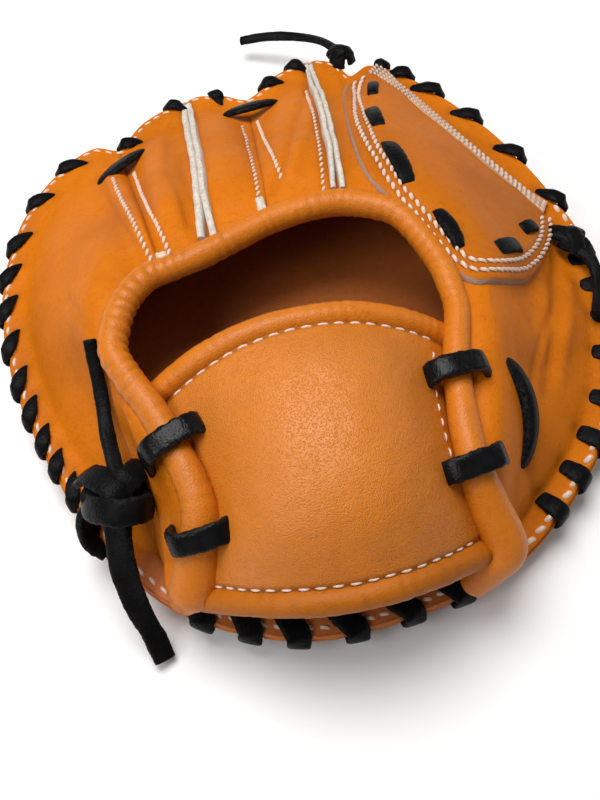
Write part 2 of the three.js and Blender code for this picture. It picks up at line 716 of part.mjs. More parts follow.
// A raised strip standing on the back along a list of section and share pairs.
function standingStrip(path, halfWidth, low, high) {
  const rings = path.map(([u, t], i) => {
    const normal = backNormal(u, t);
    const before = path[Math.max(i - 1, 0)];
    const after = path[Math.min(i + 1, path.length - 1)];
    const along = backPoint(after[0], after[1]).sub(backPoint(before[0], before[1])).normalize();
    const across = along.cross(normal).normalize().multiplyScalar(halfWidth);
    const foot = backPoint(u, t).addScaledVector(normal, low);
    const top = backPoint(u, t).addScaledVector(normal, high);
    return [
      foot.clone().add(across),
      top.clone().add(across),
      top.clone().sub(across),
      foot.clone().sub(across),
    ];
  });
  return loft(rings, false, false);
}

function weltPath(row) {
  const path = [];
  for (let i = 0; i <= 9; i += 1) path.push([row.at, row.from + ((row.to - row.from) * i) / 9]);
  return path;
}

// Middle face of the wrist strap, at share across from the little side and share down from its top edge.
const strapCrown = new THREE.CatmullRomCurve3(STRAP_ROWS.map((row) => v(row.crown)));
function strapPoint(across, down) {
  const place = down * (STRAP_ROWS.length - 1);
  const low = Math.min(Math.floor(place), STRAP_ROWS.length - 2);
  const part = place - low;
  const side = (key, sign) => {
    const u = THREE.MathUtils.lerp(STRAP_ROWS[low][key], STRAP_ROWS[low + 1][key], part);
    const point = edgePoint(u);
    return new THREE.Vector3(point.x + sign * STRAP_INSET, point.y, point.z - STRAP_TUCK);
  };
  const left = side('little', 1);
  const right = side('thumb', -1);
  const crown = strapCrown.getPoint(down);
  const middle = left.clone().lerp(right, 0.5);
  const bulge = 1 - (2 * across - 1) ** 2;
  const rise = 1 - Math.abs(2 * across - 1) ** STRAP_BULGE;
  const point = left.lerp(right, across);
  point.x += (crown.x - middle.x) * bulge;
  point.y += (crown.y - middle.y) * bulge;
  point.z += (crown.z - middle.z) * rise;
  return point;
}

function strapNormal(across, down) {
  const step = 0.02;
  const right = strapPoint(Math.min(across + step, 1), down);
  const left = strapPoint(Math.max(across - step, 0), down);
  const lower = strapPoint(across, Math.min(down + step, 1));
  const upper = strapPoint(across, Math.max(down - step, 0));
  const normal = right.sub(left).cross(lower.sub(upper)).normalize();
  return normal.z < 0 ? normal.negate() : normal;
}

// Shares down the strap at which its leather meets the rolled edges at top and bottom.
function strapEnds(across) {
  const clear = STRAP_ROLL_RADIUS + GAP + 0.1;
  const top = strapPoint(across, 0);
  const bottom = strapPoint(across, 1);
  let first = 0;
  let last = 1;
  while (strapPoint(across, first).distanceTo(top) < clear) first += 0.002;
  while (strapPoint(across, last).distanceTo(bottom) < clear) last -= 0.002;
  return [first, last];
}

// Share across at which the strap comes clear of the rolled edge, from the side given.
function strapSide(down, side) {
  let clear = 0;
  for (let a = 0; a < 0.25; a += 0.004) {
    const point = strapPoint(side === 0 ? a : 1 - a, down);
    for (const [centre, radius] of rollLine) {
      if (centre.distanceTo(point) < radius + GAP + ROLL_CLEAR + STRAP_WALL / 2) clear = a + 0.004;
    }
  }
  return side === 0 ? clear : 1 - clear;
}

function strapPanel() {
  const rings = [];
  const sides = [];
  for (let j = 0; j <= STRAP_ALONG; j += 1) {
    sides.push([strapSide(j / STRAP_ALONG, 0), strapSide(j / STRAP_ALONG, 1)]);
  }
  for (let i = 0; i <= STRAP_ACROSS; i += 1) {
    const upper = [];
    const lower = [];
    for (let j = 0; j <= STRAP_ALONG; j += 1) {
      const across = THREE.MathUtils.lerp(sides[j][0], sides[j][1], i / STRAP_ACROSS);
      const [first, last] = strapEnds(across);
      const down = first + ((last - first) * j) / STRAP_ALONG;
      const normal = strapNormal(across, down);
      upper.push(strapPoint(across, down).addScaledVector(normal, STRAP_WALL / 2));
      lower.push(strapPoint(across, down).addScaledVector(normal, -STRAP_WALL / 2));
    }
    rings.push(upper.concat(lower.reverse()));
  }
  return loft(rings, false, true);
}

function strapRoll(down, grow) {
  const centres = [];
  const radii = [];
  for (let i = 0; i <= 12; i += 1) {
    const across = i / 12;
    centres.push(strapPoint(across, down));
    const end = Math.min(across, 1 - across);
    radii.push(STRAP_ROLL_RADIUS * (end < 0.01 ? 0.6 : 1) + grow);
  }
  return loft(tubeRings(centres, radii, ROLL_SIDES), false, false);
}

// Flat lace loop round the rolled edge, through strap and back panel.
function strapLoop(row, grow) {
  const centre = edgePoint(row.at);
  const along = edgePoint(row.at + 0.1).sub(edgePoint(row.at - 0.1)).normalize();
  const side = new THREE.Vector3().crossVectors(along, UP).normalize();
  const up = new THREE.Vector3().crossVectors(side, along);
  if (side.x * row.inside < 0) side.negate();
  const path = LOOP_PATH.map(([s, z]) => centre.clone().addScaledVector(side, s).addScaledVector(up, z));
  return ribbon(path, path.map(() => along), LOOP_WIDTH + 2 * grow, LOOP_WALL + 2 * grow, true);
}

function knot(row, grow) {
  const turn = new THREE.Euler(row.tilt[0], row.tilt[1], row.tilt[2]);
  const centres = [];
  for (let i = 0; i < KNOT_STEPS; i += 1) {
    const a = (i / KNOT_STEPS) * Math.PI * 2;
    const radius = row.ring * (KNOT_MEAN + KNOT_SWING * Math.cos(3 * a));
    const point = new THREE.Vector3(
      radius * Math.cos(2 * a),
      radius * Math.sin(2 * a),
      row.tube * KNOT_CROSSING * row.flat * Math.sin(3 * a),
    );
    centres.push(point.applyEuler(turn).add(v(row.at)));
  }
  const rings = [];
  const count = centres.length;
  const hub = v(row.at);
  for (let i = 0; i < count; i += 1) {
    const along = centres[(i + 1) % count].clone().sub(centres[(i + count - 1) % count]).normalize();
    const away = centres[i].clone().sub(hub);
    const side = away.addScaledVector(along, -away.dot(along)).normalize();
    const up = new THREE.Vector3().crossVectors(along, side);
    const ring = [];
    for (let k = 0; k < KNOT_SIDES; k += 1) {
      const angle = (k / KNOT_SIDES) * Math.PI * 2;
      const point = centres[i].clone().addScaledVector(side, Math.cos(angle) * (row.tube + grow));
      ring.push(point.addScaledVector(up, Math.sin(angle) * (row.tube + grow)));
    }
    rings.push(ring);
  }
  return chain(rings, true);
}

function tail(row) {
  const centres = new THREE.CatmullRomCurve3(row.path.map(v)).getSpacedPoints(TAIL_STEPS);
  const radii = centres.map(() => TAIL_DIAMETER / 2);
  return chain(tubeRings(centres, radii, TAIL_SIDES), false);
}

// Cutters with clearance, and the solids they cut.
const rollCutter = toSolid(openingRoll(GAP));
const loopCutters = STRAP_LOOPS.map((row) => toSolid(strapLoop(row, GAP)));
const knotCutters = KNOTS.map((row) => knot(row, GAP));
const holeCutters = RIM_LACES.map((row) => holeCutter(row.holes));
const laceCutters = RIM_LACES.map((row) => whipstitch(row.holes, GAP));
const grownPanels = PANELS.map((row) => toSolid(panel(row.from, row.to, GAP)));

const palm = dish(PALM_RINGS, (row) => row.low, (row) => row.high);
add('palm_shell', cut(palm, holeCutters), 'tan');
const liningRows = LINING_RINGS.map((i) => PALM_RINGS[i]);
const lining = dish(liningRows, (row) => row.high + GAP, (row) => row.high + GAP + LINING_WALL);
add('palm_lining', lining, 'lining');
add('heel_facing', cut(heelFacing(), [...holeCutters, ...grownPanels]), 'lining');

for (const row of PANELS) {
  const raw = panel(row.from + PANEL_SPLIT, row.to - PANEL_SPLIT, 0);
  add(row.name, cut(raw, [...loopCutters, ...holeCutters]), 'tan');
}
add('opening_binding', openingRoll(0), 'edge');

add('wrist_strap', cut(strapPanel(), [rollCutter, ...loopCutters]), 'tan');
add('strap_binding_top', cut(strapRoll(0, 0), [rollCutter]), 'edge');
add('strap_binding_bottom', cut(strapRoll(1, 0), [rollCutter]), 'edge');
for (const row of STRAP_LOOPS) add(row.name, strapLoop(row, 0), 'black');

for (const row of RIM_LACES) add(row.name, trim(whipstitch(row.holes, 0), knotCutters), 'black');
for (const row of BARS) add(row.name, cut(bar(row, 0), grownPanels), 'black');

const patchBody = cut(patch(-0.8, GAP + PATCH_WALL), [...grownPanels, rollCutter]);
const patchCutter = toSolid(patch(-0.8, 2 * GAP + PATCH_WALL));
add('web_patch', patchBody, 'tan');
for (const row of WEB_BARS) {
  add(row.name, cut(bar(row, PATCH_WALL), [patchCutter, ...grownPanels]), 'black');
}
const webEdge = standingStrip(WEB_EDGE, WEB_EDGE_HALF_WIDTH, -0.8, 3);
add('web_edge_welt', cut(webEdge, [patchCutter, ...grownPanels, ...laceCutters]), 'pale');
for (const row of WELTS) {
  const welt = standingStrip(weltPath(row), WELT_HALF_WIDTH, -0.8, WELT_RISE);
  add(row.name, cut(welt, [...grownPanels, ...laceCutters, rollCutter]), 'pale');
}

for (const row of KNOTS) add(row.name, trim(knot(row, 0), grownPanels), 'black');
for (const row of TAILS) add(row.name, trim(tail(row), [...knotCutters, ...grownPanels]), 'black');

export default glove;
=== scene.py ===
"""Round padded infield training glove for the left hand, lying palm down, in tan leather and black lace."""

import math

import bmesh
import bpy
import numpy as np
from bpy.props import FloatProperty, FloatVectorProperty, PointerProperty
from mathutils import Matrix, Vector


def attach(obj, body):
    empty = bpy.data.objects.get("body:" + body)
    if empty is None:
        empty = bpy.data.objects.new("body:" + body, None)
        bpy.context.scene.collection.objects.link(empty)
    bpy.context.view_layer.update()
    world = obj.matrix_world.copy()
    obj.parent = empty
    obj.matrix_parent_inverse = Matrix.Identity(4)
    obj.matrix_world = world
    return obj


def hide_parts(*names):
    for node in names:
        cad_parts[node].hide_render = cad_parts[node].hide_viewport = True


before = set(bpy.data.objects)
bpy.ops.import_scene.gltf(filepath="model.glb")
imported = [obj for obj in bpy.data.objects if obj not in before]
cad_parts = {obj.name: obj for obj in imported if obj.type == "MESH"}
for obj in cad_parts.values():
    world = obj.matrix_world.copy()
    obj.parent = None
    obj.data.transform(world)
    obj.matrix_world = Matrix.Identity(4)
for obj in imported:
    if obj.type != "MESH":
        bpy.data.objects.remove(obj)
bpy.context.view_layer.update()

bl_info = {
    "name": "Infield Training Glove",
    "version": (1, 0, 0),
    "blender": (4, 5, 0),
    "location": "3D View > Sidebar > Glove",
    "description": "Builds a round padded fielding glove from section tables",
    "category": "Object",
}

MM = 0.001
UP = np.array([0.0, 0.0, 1.0])

# ---------------------------------------------------------------- tables, in millimetres

# Sections of the back: a line from the rim to the centre of the rolled edge, and how much of the climb
# happens in a shoulder close to the opening. The last three are rim only.
SECTIONS = (
    # rim, edge, lobe
    ((-84, -81, 12), (-63, -104, 30), 0.3),
    ((-101, -42, 13), (-54, -84, 49), 0.75),
    ((-110, -3, 14), (-62, -51, 55), 0.6),
    ((-109, 36, 14), (-70, -28, 56), 0.35),
    ((-94, 72, 14), (-62, -8, 55), 0.2),
    ((-72, 93, 14), (-54, -1, 54), 0.15),
    ((-58, 97, 14), (-49, 0, 54), 0.1),
    ((-24, 113, 14), (-33, 4, 54), 0.1),
    ((2, 112, 14), (-10, 12, 54), 0.1),
    ((32, 123, 14), (15, 14, 54), 0.1),
    ((50, 115, 14), (31, 7, 54), 0.1),
    ((66, 111, 14), (35.5, 1.5, 54), 0.1),
    ((96, 71, 14), (41, -18, 55), 0.1),
    ((111, 18, 14), (41, -38.5, 56), 0.2),
    ((113, -12, 13), (36, -53, 57), 0.4),
    ((108, -41, 13), (32, -67, 57), 0.6),
    ((89, -78, 13), (29, -92, 54), 0.6),
    ((45, -113, 12), (35, -119, 34), 0.3),
    ((11, -121, 12), None, None),
    ((-29, -121, 12), None, None),
    ((-65, -104, 12), None, None),
)
COUNT = len(SECTIONS)
LAST = 17
PALM_CENTRE = np.array([-5.0, -8.0, 0.0])
# Gap between back and palm at the rim, and the thickness of the back.
SEAM = 0.15
SHELL_WALL = 2.5
# Flat flange inside the rim: its width, the most of the way that it takes, and how soft the valley behind is.
FLANGE_WIDTH = 10
FLANGE_SHARE = 0.6
VALLEY = 0.055
# Climb of a lobed section: an even slope, and eased steps with height, start and length.
SHOULDER_SLOPE = 0.35
SHOULDER_STEPS = ((0.68, 0.38, 0.42), (-0.12, 0.82, 0.18))
# How far the back ends over the centre of the rolled edge.
EDGE_LIFT = 1
# Top of the rim's leather over its seam, and the usual height of the seam.
RIM_TOP = SEAM + SHELL_WALL
RIM_HEIGHT = 13
# How much of its pull a lace gives to the leather, and how far along the rim it is felt.
LACE_PULL = 0.9
PULL_REACH = 3.2
# Lines on the back are felt within this distance; further off they count as far away.
NEAR_REACH = 9
FAR_AWAY = 99.0
# Sharp edges are kept where faces meet at more than this many degrees.
SHARP_ANGLE = 52

# Scallops of the rim between the finger stalls: section, depth, reach in sections.
NOTCHES = ((6, 5, 0.5), (8, 5, 0.5), (10, 6, 0.45), (11.75, 3.0, 1.5))

# Broad folds and swells: section, reach, rise, from and to as shares of the way up.
FOLDS = (
    (1.35, 0.7, 1.5, 0.6, 1),
    (4.8, 0.7, -3.5, 0.15, 1),
    (6.05, 0.3, -2.5, 0.1, 0.95),
    (6.45, 0.4, 2, 0.1, 0.9),
    (6.85, 0.25, -3, 0.1, 0.95),
    (7.45, 0.5, 2.5, 0.05, 0.9),
    (8.0, 0.3, -2, 0.1, 0.9),
    (8.55, 0.5, 2, 0.05, 0.9),
    (9.4, 0.5, -3, 0.1, 0.95),
    (13.6, 0.6, -2.5, 0.1, 0.8),
    (14.6, 0.5, 2, 0.1, 0.7),
)

# Narrow creases drawn on the back: depth, half width, and points as section and share of the way up.
CREASES = (
    (1.0, 2.0, ((8.95, 0.14), (8.75, 0.39), (8.55, 0.55), (8.35, 0.74), (8.12, 0.88))),
    (-0.8, 2.6, ((9.0, 0.3), (8.84, 0.5), (8.66, 0.66), (8.4, 0.84))),
    (1.3, 3.2, ((13.35, 0.2), (13.95, 0.31), (14.55, 0.38), (15.3, 0.46))),
    (-0.9, 3.5, ((13.9, 0.2), (14.4, 0.28), (15.2, 0.38))),
    (0.7, 2.2, ((14.1, 0.34), (14.7, 0.5), (15.3, 0.58))),
    (1.1, 3.0, ((5.2, 0.2), (4.95, 0.45), (4.9, 0.8))),
    (0.8, 2.4, ((6.7, 0.2), (6.62, 0.5), (6.75, 0.85))),
    (0.6, 2.2, ((3.3, 0.62), (3.05, 0.8), (2.75, 0.93))),
    (2.4, 3.4, ((0.04, 0.6), (0.6, 0.58), (1.2, 0.6), (1.8, 0.68), (2.4, 0.79))),
    (-1.2, 3.2, ((0.04, 0.76), (0.6, 0.74), (1.2, 0.75), (1.8, 0.82))),
    (-0.6, 2.8, ((11.2, 0.25), (11.5, 0.5), (11.7, 0.75))),
    (0.8, 2.4, ((16.55, 0.2), (16.35, 0.42), (16.05, 0.56))),
)

# Panels of the back: first and last section.
PANELS = (
    ("back_little", 0, 6),
    ("back_ring_outer", 6, 7),
    ("back_ring_inner", 7, 8),
    ("back_middle", 8, 9),
    ("back_index", 9, 9.7),
    ("back_thumb", 9.7, 17),
)

# Seams between the panels: section, depth, half width.
SEAMS = ((6, 0.7, 1.0), (7, 1.4, 2.8), (8, 0.6, 0.9), (9, 1.4, 2.8))

# Rolled edge: place along the opening and half width there.
ROLL_SIZES = (
    (-0.35, 5.6),
    (-0.2, 7.2),
    (0.1, 7.9),
    (0.5, 7.0),
    (1.0, 5.7),
    (1.6, 4.9),
    (4.5, 4.8),
    (6, 4.5),
    (9, 4.7),
    (11, 4.5),
    (13, 4.3),
    (15, 4.4),
    (16.1, 5.3),
    (16.6, 6.9),
    (16.9, 7.2),
    (17.1, 6.6),
    (17.25, 4.6),
)
# Where the rolled edge ends at the heel, and its first and last place.
ROLL_LITTLE_END = (-64.5, -103, 25)
ROLL_THUMB_END = (25.2, -119.3, 21.5)
ROLL_FIRST, ROLL_LAST = -0.35, 17.25
# How far the two lower corners of the rolled edge are drawn in: little side, then thumb side.
ROLL_DRAWN = ((2.5, 3.0, 0), (0, 5.0, 0))
# How deep the gathers of the rolled edge are along the opening.
ROLL_GATHERS = (
    (0, 0.04), (1.8, 0.1), (2.6, 0.26), (5, 0.24), (7.5, 0.14), (9, 0.1), (11, 0.16), (12.5, 0.08),
    (17, 0.03),
)

# Palm profile: share of the way from the rim to the centre, lower and upper face. The first two rows follow
# the rim's height.
PALM_PROFILE = (
    (0.0, -RIM_TOP, -SEAM),
    (0.09, -RIM_TOP, -SEAM),
    (0.16, 3.2, 10),
    (0.24, 0, 7),
    (0.6, 0, 6.5),
    (0.8, 3.5, 9.5),
    (1.0, 5.5, 11.5),
)

# Wrist strap from its top edge to its bottom edge: section on the little side and on the thumb side, and the
# point of its crown.
STRAP_ROWS = (
    (2.25, 13.5, (-13, -38, 67)),
    (1.6, 14.6, (-13, -60, 73)),
    (1.0, 15.5, (-15, -84, 73)),
    (0.5, 16.25, (-17, -104, 66)),
    (0.05, 16.75, (-17.5, -121.5, 48)),
)
# How far the strap's sides lie under and inside the rolled edge, how square its arch is, its thickness, and the
# radius of its own rolled edges.
STRAP_TUCK = 7.2
STRAP_INSET = 2.5
STRAP_BULGE = 2.4
STRAP_WALL = 3
STRAP_ROLL_RADIUS = 4.3

# Loops: place along the opening, side of the strap, and how far they lean from square, in radians.
STRAP_LOOPS = (
    ("strap_loop_1", 1.62, 1, 0.05),
    ("strap_loop_2", 0.72, 1, 0.42),
    ("strap_loop_3", 14.75, -1, 0.3),
    ("strap_loop_4", 16.0, -1, 0.08),
)
# The way of a loop round the rolled edge: distance to the side and height over the edge's centre.
LOOP_PATH = (
    (-9, -4), (-9, 1.5), (-6.6, 5.8), (0, 7.4), (6.6, 7), (10, 4.2), (10.2, -6), (6, -11.2),
    (-5, -11.2), (-8.6, -9),
)

# Holes of the little side's lace, as sections.
LITTLE_HOLES = (4.98, 4.25, 3.64, 3.24, 2.85, 2.43, 2.01, 1.67, 1.35, 1.07, 0.82, 0.5, 0.22)
# Whipstitch laces: distance of the holes from the rim, width, slant over the rim, how far they stand off it,
# width at the hole as a share, and the holes in order.
RIM_LACES = (
    ("rim_lace_little", 5.4, 5.0, 8.6, 0.0, 0.2, LITTLE_HOLES),
    ("rim_lace_fingers", 5.4, 5.2, 5.0, 0.4, 0.3, (8.9, 8.44, 7.66, 6.93, 6.22)),
    ("rim_lace_web", 4.6, 5.4, 9.5, 1.4, 0.5, (10.6, 11.02, 11.34, 11.75, 12.24, 12.74)),
    ("rim_lace_thumb", 8.6, 6.8, 0.6, 0.0, 0.85, (13.75, 14.2, 14.7, 15.2, 15.68, 16.06, 16.34, 16.6)),
    ("heel_lace", 12.0, 8.2, 9.0, 1.0, 0.85, (20.12, 19.68, 19.3, 18.84, 18.37, 17.92)),
)
# The most of the way to its next hole that a lace slants.
SLANT_SHARE = 0.62

# Single stitches on the back: width, wall, how square their ends are, and points as section and share.
BARS = (
    ("finger_bar_a", 7.6, 2.8, 0.15, ((5.08, 0.25), (5.7, 0.2), (6.36, 0.17))),
    ("finger_bar_c", 7.2, 2.8, 0.15, ((7.58, 0.17), (8, 0.16), (8.42, 0.19))),
    ("thumb_bar", 8.0, 5.4, 0.6, ((14.98, 0.735), (15.25, 0.675), (15.6, 0.63), (16.05, 0.615))),
)
# Laces of the web, with the same columns.
WEB_BARS = (
    ("web_bar_1", 4.6, 2.6, 0.92, ((10.5, 0.17), (10.38, 0.29))),
    ("web_bar_2", 5.6, 2.6, 0.92, ((10.24, 0.4), (10.34, 0.56))),
    ("web_bar_3", 7.0, 2.6, 0.7, ((10.42, 0.69), (11.12, 0.865))),
    ("web_bar_4", 5.8, 2.6, 0.65, ((11.74, 0.862), (12.38, 0.882))),
    ("web_bar_5", 6.2, 2.6, 0.92, ((12.84, 0.68), (12.97, 0.51))),
    ("web_bar_6", 5.4, 2.6, 0.92, ((12.85, 0.41), (12.9, 0.3))),
)

# The web patch: its middle and its outline, as section and share.
PATCH_CENTRE = (11.5, 0.5)
PATCH_OUTLINE = (
    (10.0, 0.06),
    (9.66, 0.24),
    (9.56, 0.48),
    (9.55, 0.68),
    (9.6, 0.82),
    (9.78, 0.91),
    (10.15, 0.955),
    (10.7, 0.975),
    (11.4, 0.98),
    (12.0, 0.975),
    (12.5, 0.95),
    (12.92, 0.885),
    (13.25, 0.77),
    (13.43, 0.6),
    (13.42, 0.43),
    (13.2, 0.28),
    (12.94, 0.15),
    (12.4, 0.23),
    (12.0, 0.27),
    (11.55, 0.25),
    (11.1, 0.16),
    (10.7, 0.085),
    (10.35, 0.065),
)
# The two rows of thread inside the patch's outline, as section and share.
PATCH_ROWS = (
    (
        (10.1, 0.065), (9.83, 0.3), (9.73, 0.54), (9.81, 0.72), (10.1, 0.86), (10.7, 0.935),
        (11.35, 0.956), (11.93, 0.958), (12.5, 0.92), (12.92, 0.835), (13.18, 0.69), (13.28, 0.53),
        (13.26, 0.38), (13.1, 0.23), (12.92, 0.13),
    ),
    (
        (10.31, 0.075), (10.1, 0.22), (9.99, 0.45), (10.04, 0.66), (10.35, 0.81), (10.9, 0.888),
        (11.35, 0.91), (11.85, 0.914), (12.3, 0.897), (12.7, 0.85), (13.0, 0.715), (13.12, 0.565),
        (13.12, 0.42), (13.02, 0.29), (12.86, 0.18),
    ),
)
# Height of the patch's face over the back.
PATCH_TOP = 2.1
# The stitched band along the web's outer side: points, width and height, and its rows of thread.
WEB_EDGE = (
    (10.5, 0.045), (10.75, 0.07), (11.1, 0.145), (11.55, 0.24), (12.0, 0.265), (12.4, 0.215), (12.78, 0.13),
    (12.84, 0.11),
)
WEB_EDGE_WIDTH, WEB_EDGE_TOP = 7.6, 2.6
WEB_EDGE_ROWS = (-2.6, -0.9, 0.9, 2.6)
# Welts: section, half the distance between the two plies, and their wall.
WELTS = (("welt_ring", 7, 1.2, 2.4), ("welt_index", 9.02, 0.9, 1.8))
# The way of a welt from the rim: sections past its own, and share.
WELT_LINE = ((0, 0.03), (0.02, 0.2), (0.04, 0.45), (0.04, 0.7), (0.02, 0.955))
# The two plies of the small tag at the middle slot: points, lean, height.
SLOT_TAG = (
    (((7.86, 0.89), (7.88, 0.92), (7.89, 0.96)), -0.2, 1.8),
    (((7.93, 0.89), (7.95, 0.92), (7.97, 0.955)), 0.2, 1.7),
)
# Section of a standing ply: across as a share of its wall, height as a share, painted shade that darkens
# towards its foot, rawness.
PLY_SECTION = (
    (-0.5, 0.0, 0.9, 0.2),
    (-0.52, 0.5, 0.35, 0.2),
    (-0.5, 0.88, 0.05, 0.5),
    (-0.28, 0.99, 0, 0.9),
    (0, 1.02, 0, 1),
    (0.28, 0.99, 0, 0.9),
    (0.5, 0.88, 0.05, 0.5),
    (0.52, 0.5, 0.35, 0.2),
    (0.5, 0.0, 0.9, 0.2),
)

# Rows of thread on the back: pitch, stitch length, width, slant, points as section and share.
BACK_ROWS = (
    (3.2, 3.2, 1.35, 0.5, ((5.6, 0.27), (5.51, 0.5), (5.49, 0.75), (5.52, 0.95))),
    (3.2, 3.2, 1.35, 0.5, ((6.1, 0.21), (6.1, 0.5), (6.17, 0.78), (6.26, 0.95))),
    (3.2, 3.2, 1.25, 0.5, ((7.85, 0.22), (7.88, 0.5), (7.9, 0.7), (7.9, 0.87))),
    (3.2, 3.2, 1.25, 0.5, ((8.09, 0.19), (8.14, 0.47), (8.2, 0.66), (8.25, 0.82))),
    (3.0, 2.7, 1.2, 0.4, ((8.88, 0.2), (8.88, 0.5), (8.86, 0.75), (8.82, 0.95))),
)

# Two short rows at the little side's slot, with the same columns.
SLOT_ROWS = (
    (6.5, 6.0, 1.6, 0.0, ((5.86, 0.93), (6.2, 0.95))),
    (6.5, 6.0, 1.6, 0.0, ((5.87, 0.915), (6.2, 0.935))),
)
# Thread round the rim: first and last section, pitch, length, width, distance from the rim.
RIM_ROWS = (
    (0.05, 10.0, 4.8, 4.2, 1.25, 1.8),
    (12.9, 17.2, 5.4, 5.0, 2.0, 2.1),
    (17.2, 20.95, 4.8, 3.9, 1.3, 2.4),
)

# Free ends of the laces: width, wall, and the points that they follow.
TAILS = {
    "lace_tail_up": (
        5.2,
        3.2,
        ((-76.6, -66, 43), (-77.6, -49, 42.6), (-77.2, -38, 44.6), (-77, -30, 50), (-76.8, -22.5, 56.2)),
    ),
    "lace_tail_down": (
        9.2,
        3.0,
        ((-79.2, -73.5, 38), (-81, -89, 30.5), (-80, -99, 17), (-77, -108, 6.5), (-75.5, -114.4, 3.2)),
    ),
    "lace_tail_top": (
        4.8,
        2.6,
        ((46.6, 122.5, 18.5), (40.5, 132.5, 17.2), (29, 141.5, 14.5), (18, 146.8, 12), (7.9, 150.2, 9)),
    ),
    "lace_tail_thumb": (
        4.6,
        2.8,
        ((105, -3, 21.5), (108.5, -12, 22.6), (106.5, -23, 21.8), (101.5, -33.7, 22)),
    ),
}

# Turns of flat lace that make each knot: width, wall, points.
KNOTS = {
    "knot_little": (
        (8.6, 3.2, (-88, -60, 36), (-84.5, -63, 43), (-80, -68.5, 46.5), (-76.5, -72.5, 46), (-74, -74, 41)),
        (8.0, 3.2, (-68, -62.5, 36), (-69.5, -64, 42.5), (-72.5, -68, 46), (-76, -71, 45), (-80, -72, 40)),
        (8.6, 3.2, (-88.5, -67, 34), (-87.2, -72, 40), (-82.5, -76.8, 45.4), (-77.5, -79.4, 47),
         (-72.5, -79, 45.4), (-69.5, -76.4, 40), (-69, -72.5, 34)),
        (12.0, 8.5, (-86, -65.5, 37), (-78.5, -69.5, 39.5), (-70, -69, 36.5)),
        (7.2, 3.0, (-87, -66.5, 33), (-91, -68, 27), (-92.2, -70.8, 20.5), (-91, -74.5, 15.5),
         (-87.5, -77, 12.5)),
    ),
    "knot_top": (
        (5.2, 2.2, (44, 115, 16.6), (44.8, 117, 19.4), (46.8, 120, 21.4), (48.6, 123, 19.4),
         (47.6, 124, 16.6)),
        (5.0, 2.2, (50.5, 116.5, 17), (49, 119, 20.8), (45.5, 121.5, 21.6), (42.5, 123.5, 19),
         (43.5, 124.5, 16.4)),
        (4.6, 2.2, (42.6, 118, 16.5), (43.2, 119, 20), (46.8, 119.4, 22), (50.4, 120.6, 20),
         (51, 121.6, 16.8)),
    ),
    "knot_thumb": (
        (7.0, 2.6, (97, 6.5, 21), (100.5, 4.4, 22.8), (104.5, 1, 23.4), (108.6, -3.4, 21.6),
         (111.5, -6.5, 17)),
        (6.0, 2.4, (101, -2.5, 21), (103, -0.5, 23.6), (106.2, 2.6, 23.4), (110, 5.5, 20), (112.5, 7, 15)),
        (6.0, 2.4, (103, 5, 21.5), (105, 2, 24.6), (105.6, -2, 24.2), (105.6, -6, 21.6)),
    ),
}

# Camera and lights, in metres. Lights: name, place, size, share of the power, colour.
CAMERA_EYE = (-0.0506, -0.1954, 0.3192)
CAMERA_TARGET = (-0.012, -0.0405, 0.019)
LIGHT_TARGET = (0, 0, 0.02)
LIGHTS = (
    ("overhead", (-0.14, 0.22, 0.93), 0.65, 1.0, (1.0, 0.99, 0.97)),
    ("front_left", (-0.75, -0.3, 0.8), 0.6, 0.42, (0.98, 0.99, 1.0)),
    ("right_rim", (0.85, 0.2, 0.5), 0.6, 0.1, (1.0, 0.98, 0.95)),
)

# Colours that aren't among the glove's own.
# This edge colour is also the painted shade at the foot of the welts.
PALE_EDGE_AND_SHADE = (0.36, 0.26, 0.18, 1)
BUFF = (0.55, 0.33, 0.21, 1)
# This edge colour is also the painted shade at the foot of the web band.
BUFF_EDGE_AND_SHADE = (0.42, 0.24, 0.14, 1)
WORN_GREY = (0.045, 0.042, 0.04, 1)
THREAD_SHADE = (0.30, 0.10, 0.03, 1)

# ---------------------------------------------------------------- curves and surfaces


def smooth(x):
    """Ease from 0 to 1."""
    c = np.clip(x, 0, 1)
    return c * c * (3 - 2 * c)


def unit(a):
    """Vectors at length one."""
    return a / np.maximum(np.linalg.norm(a, axis=-1, keepdims=True), 1e-9)


def curve(points, closed=False):
    """Centripetal curve through points. The returned function takes places counted in points."""
    p = np.array(points, float)
    n = len(p)
    padded = np.vstack([2 * p[0] - p[1], p, 2 * p[-1] - p[-2]])

    def at(place):
        place = np.asarray(place, float)
        if closed:
            low = np.floor(place).astype(int)
            q = [p[(low + k) % n] for k in (-1, 0, 1, 2)]
        else:
            place = np.clip(place, 0, n - 1)
            low = np.minimum(np.floor(place).astype(int), n - 2)
            q = [padded[low + k] for k in range(4)]
        w = (place - low)[..., None]
        step = [
            np.maximum(((q[k] - q[k + 1])[..., :3] ** 2).sum(-1) ** 0.25, 1e-3)[..., None] for k in range(3)
        ]
        t1 = ((q[1] - q[0]) / step[0] - (q[2] - q[0]) / (step[0] + step[1])) * step[1] + q[2] - q[1]
        t2 = ((q[3] - q[2]) / step[2] - (q[3] - q[1]) / (step[1] + step[2])) * step[1] + q[2] - q[1]
        return q[1] + t1 * w + (3 * (q[2] - q[1]) - 2 * t1 - t2) * w**2 + (2 * (q[1] - q[2]) + t1 + t2) * w**3

    return at


def even(points, spacing):
    """A line of points laid again at an even spacing, with the share along it at each."""
    p = np.asarray(points, float)
    run = np.concatenate([[0], np.cumsum(np.linalg.norm(np.diff(p[:, :3], axis=0), axis=1))])
    steps = max(int(round(run[-1] / spacing)), 2)
    at = np.linspace(0, run[-1], steps + 1)
    return np.stack([np.interp(at, run, p[:, k]) for k in range(p.shape[1])], 1), run[-1]


def through(points, spacing=0.8, closed=False):
    """Even points on the smooth curve through a few given ones."""
    p = np.array(points, float)
    n = len(p) if closed else len(p) - 1
    fine = curve(p, closed)(np.linspace(0, n, n * 24 + 1))
    return even(fine, spacing)[0]


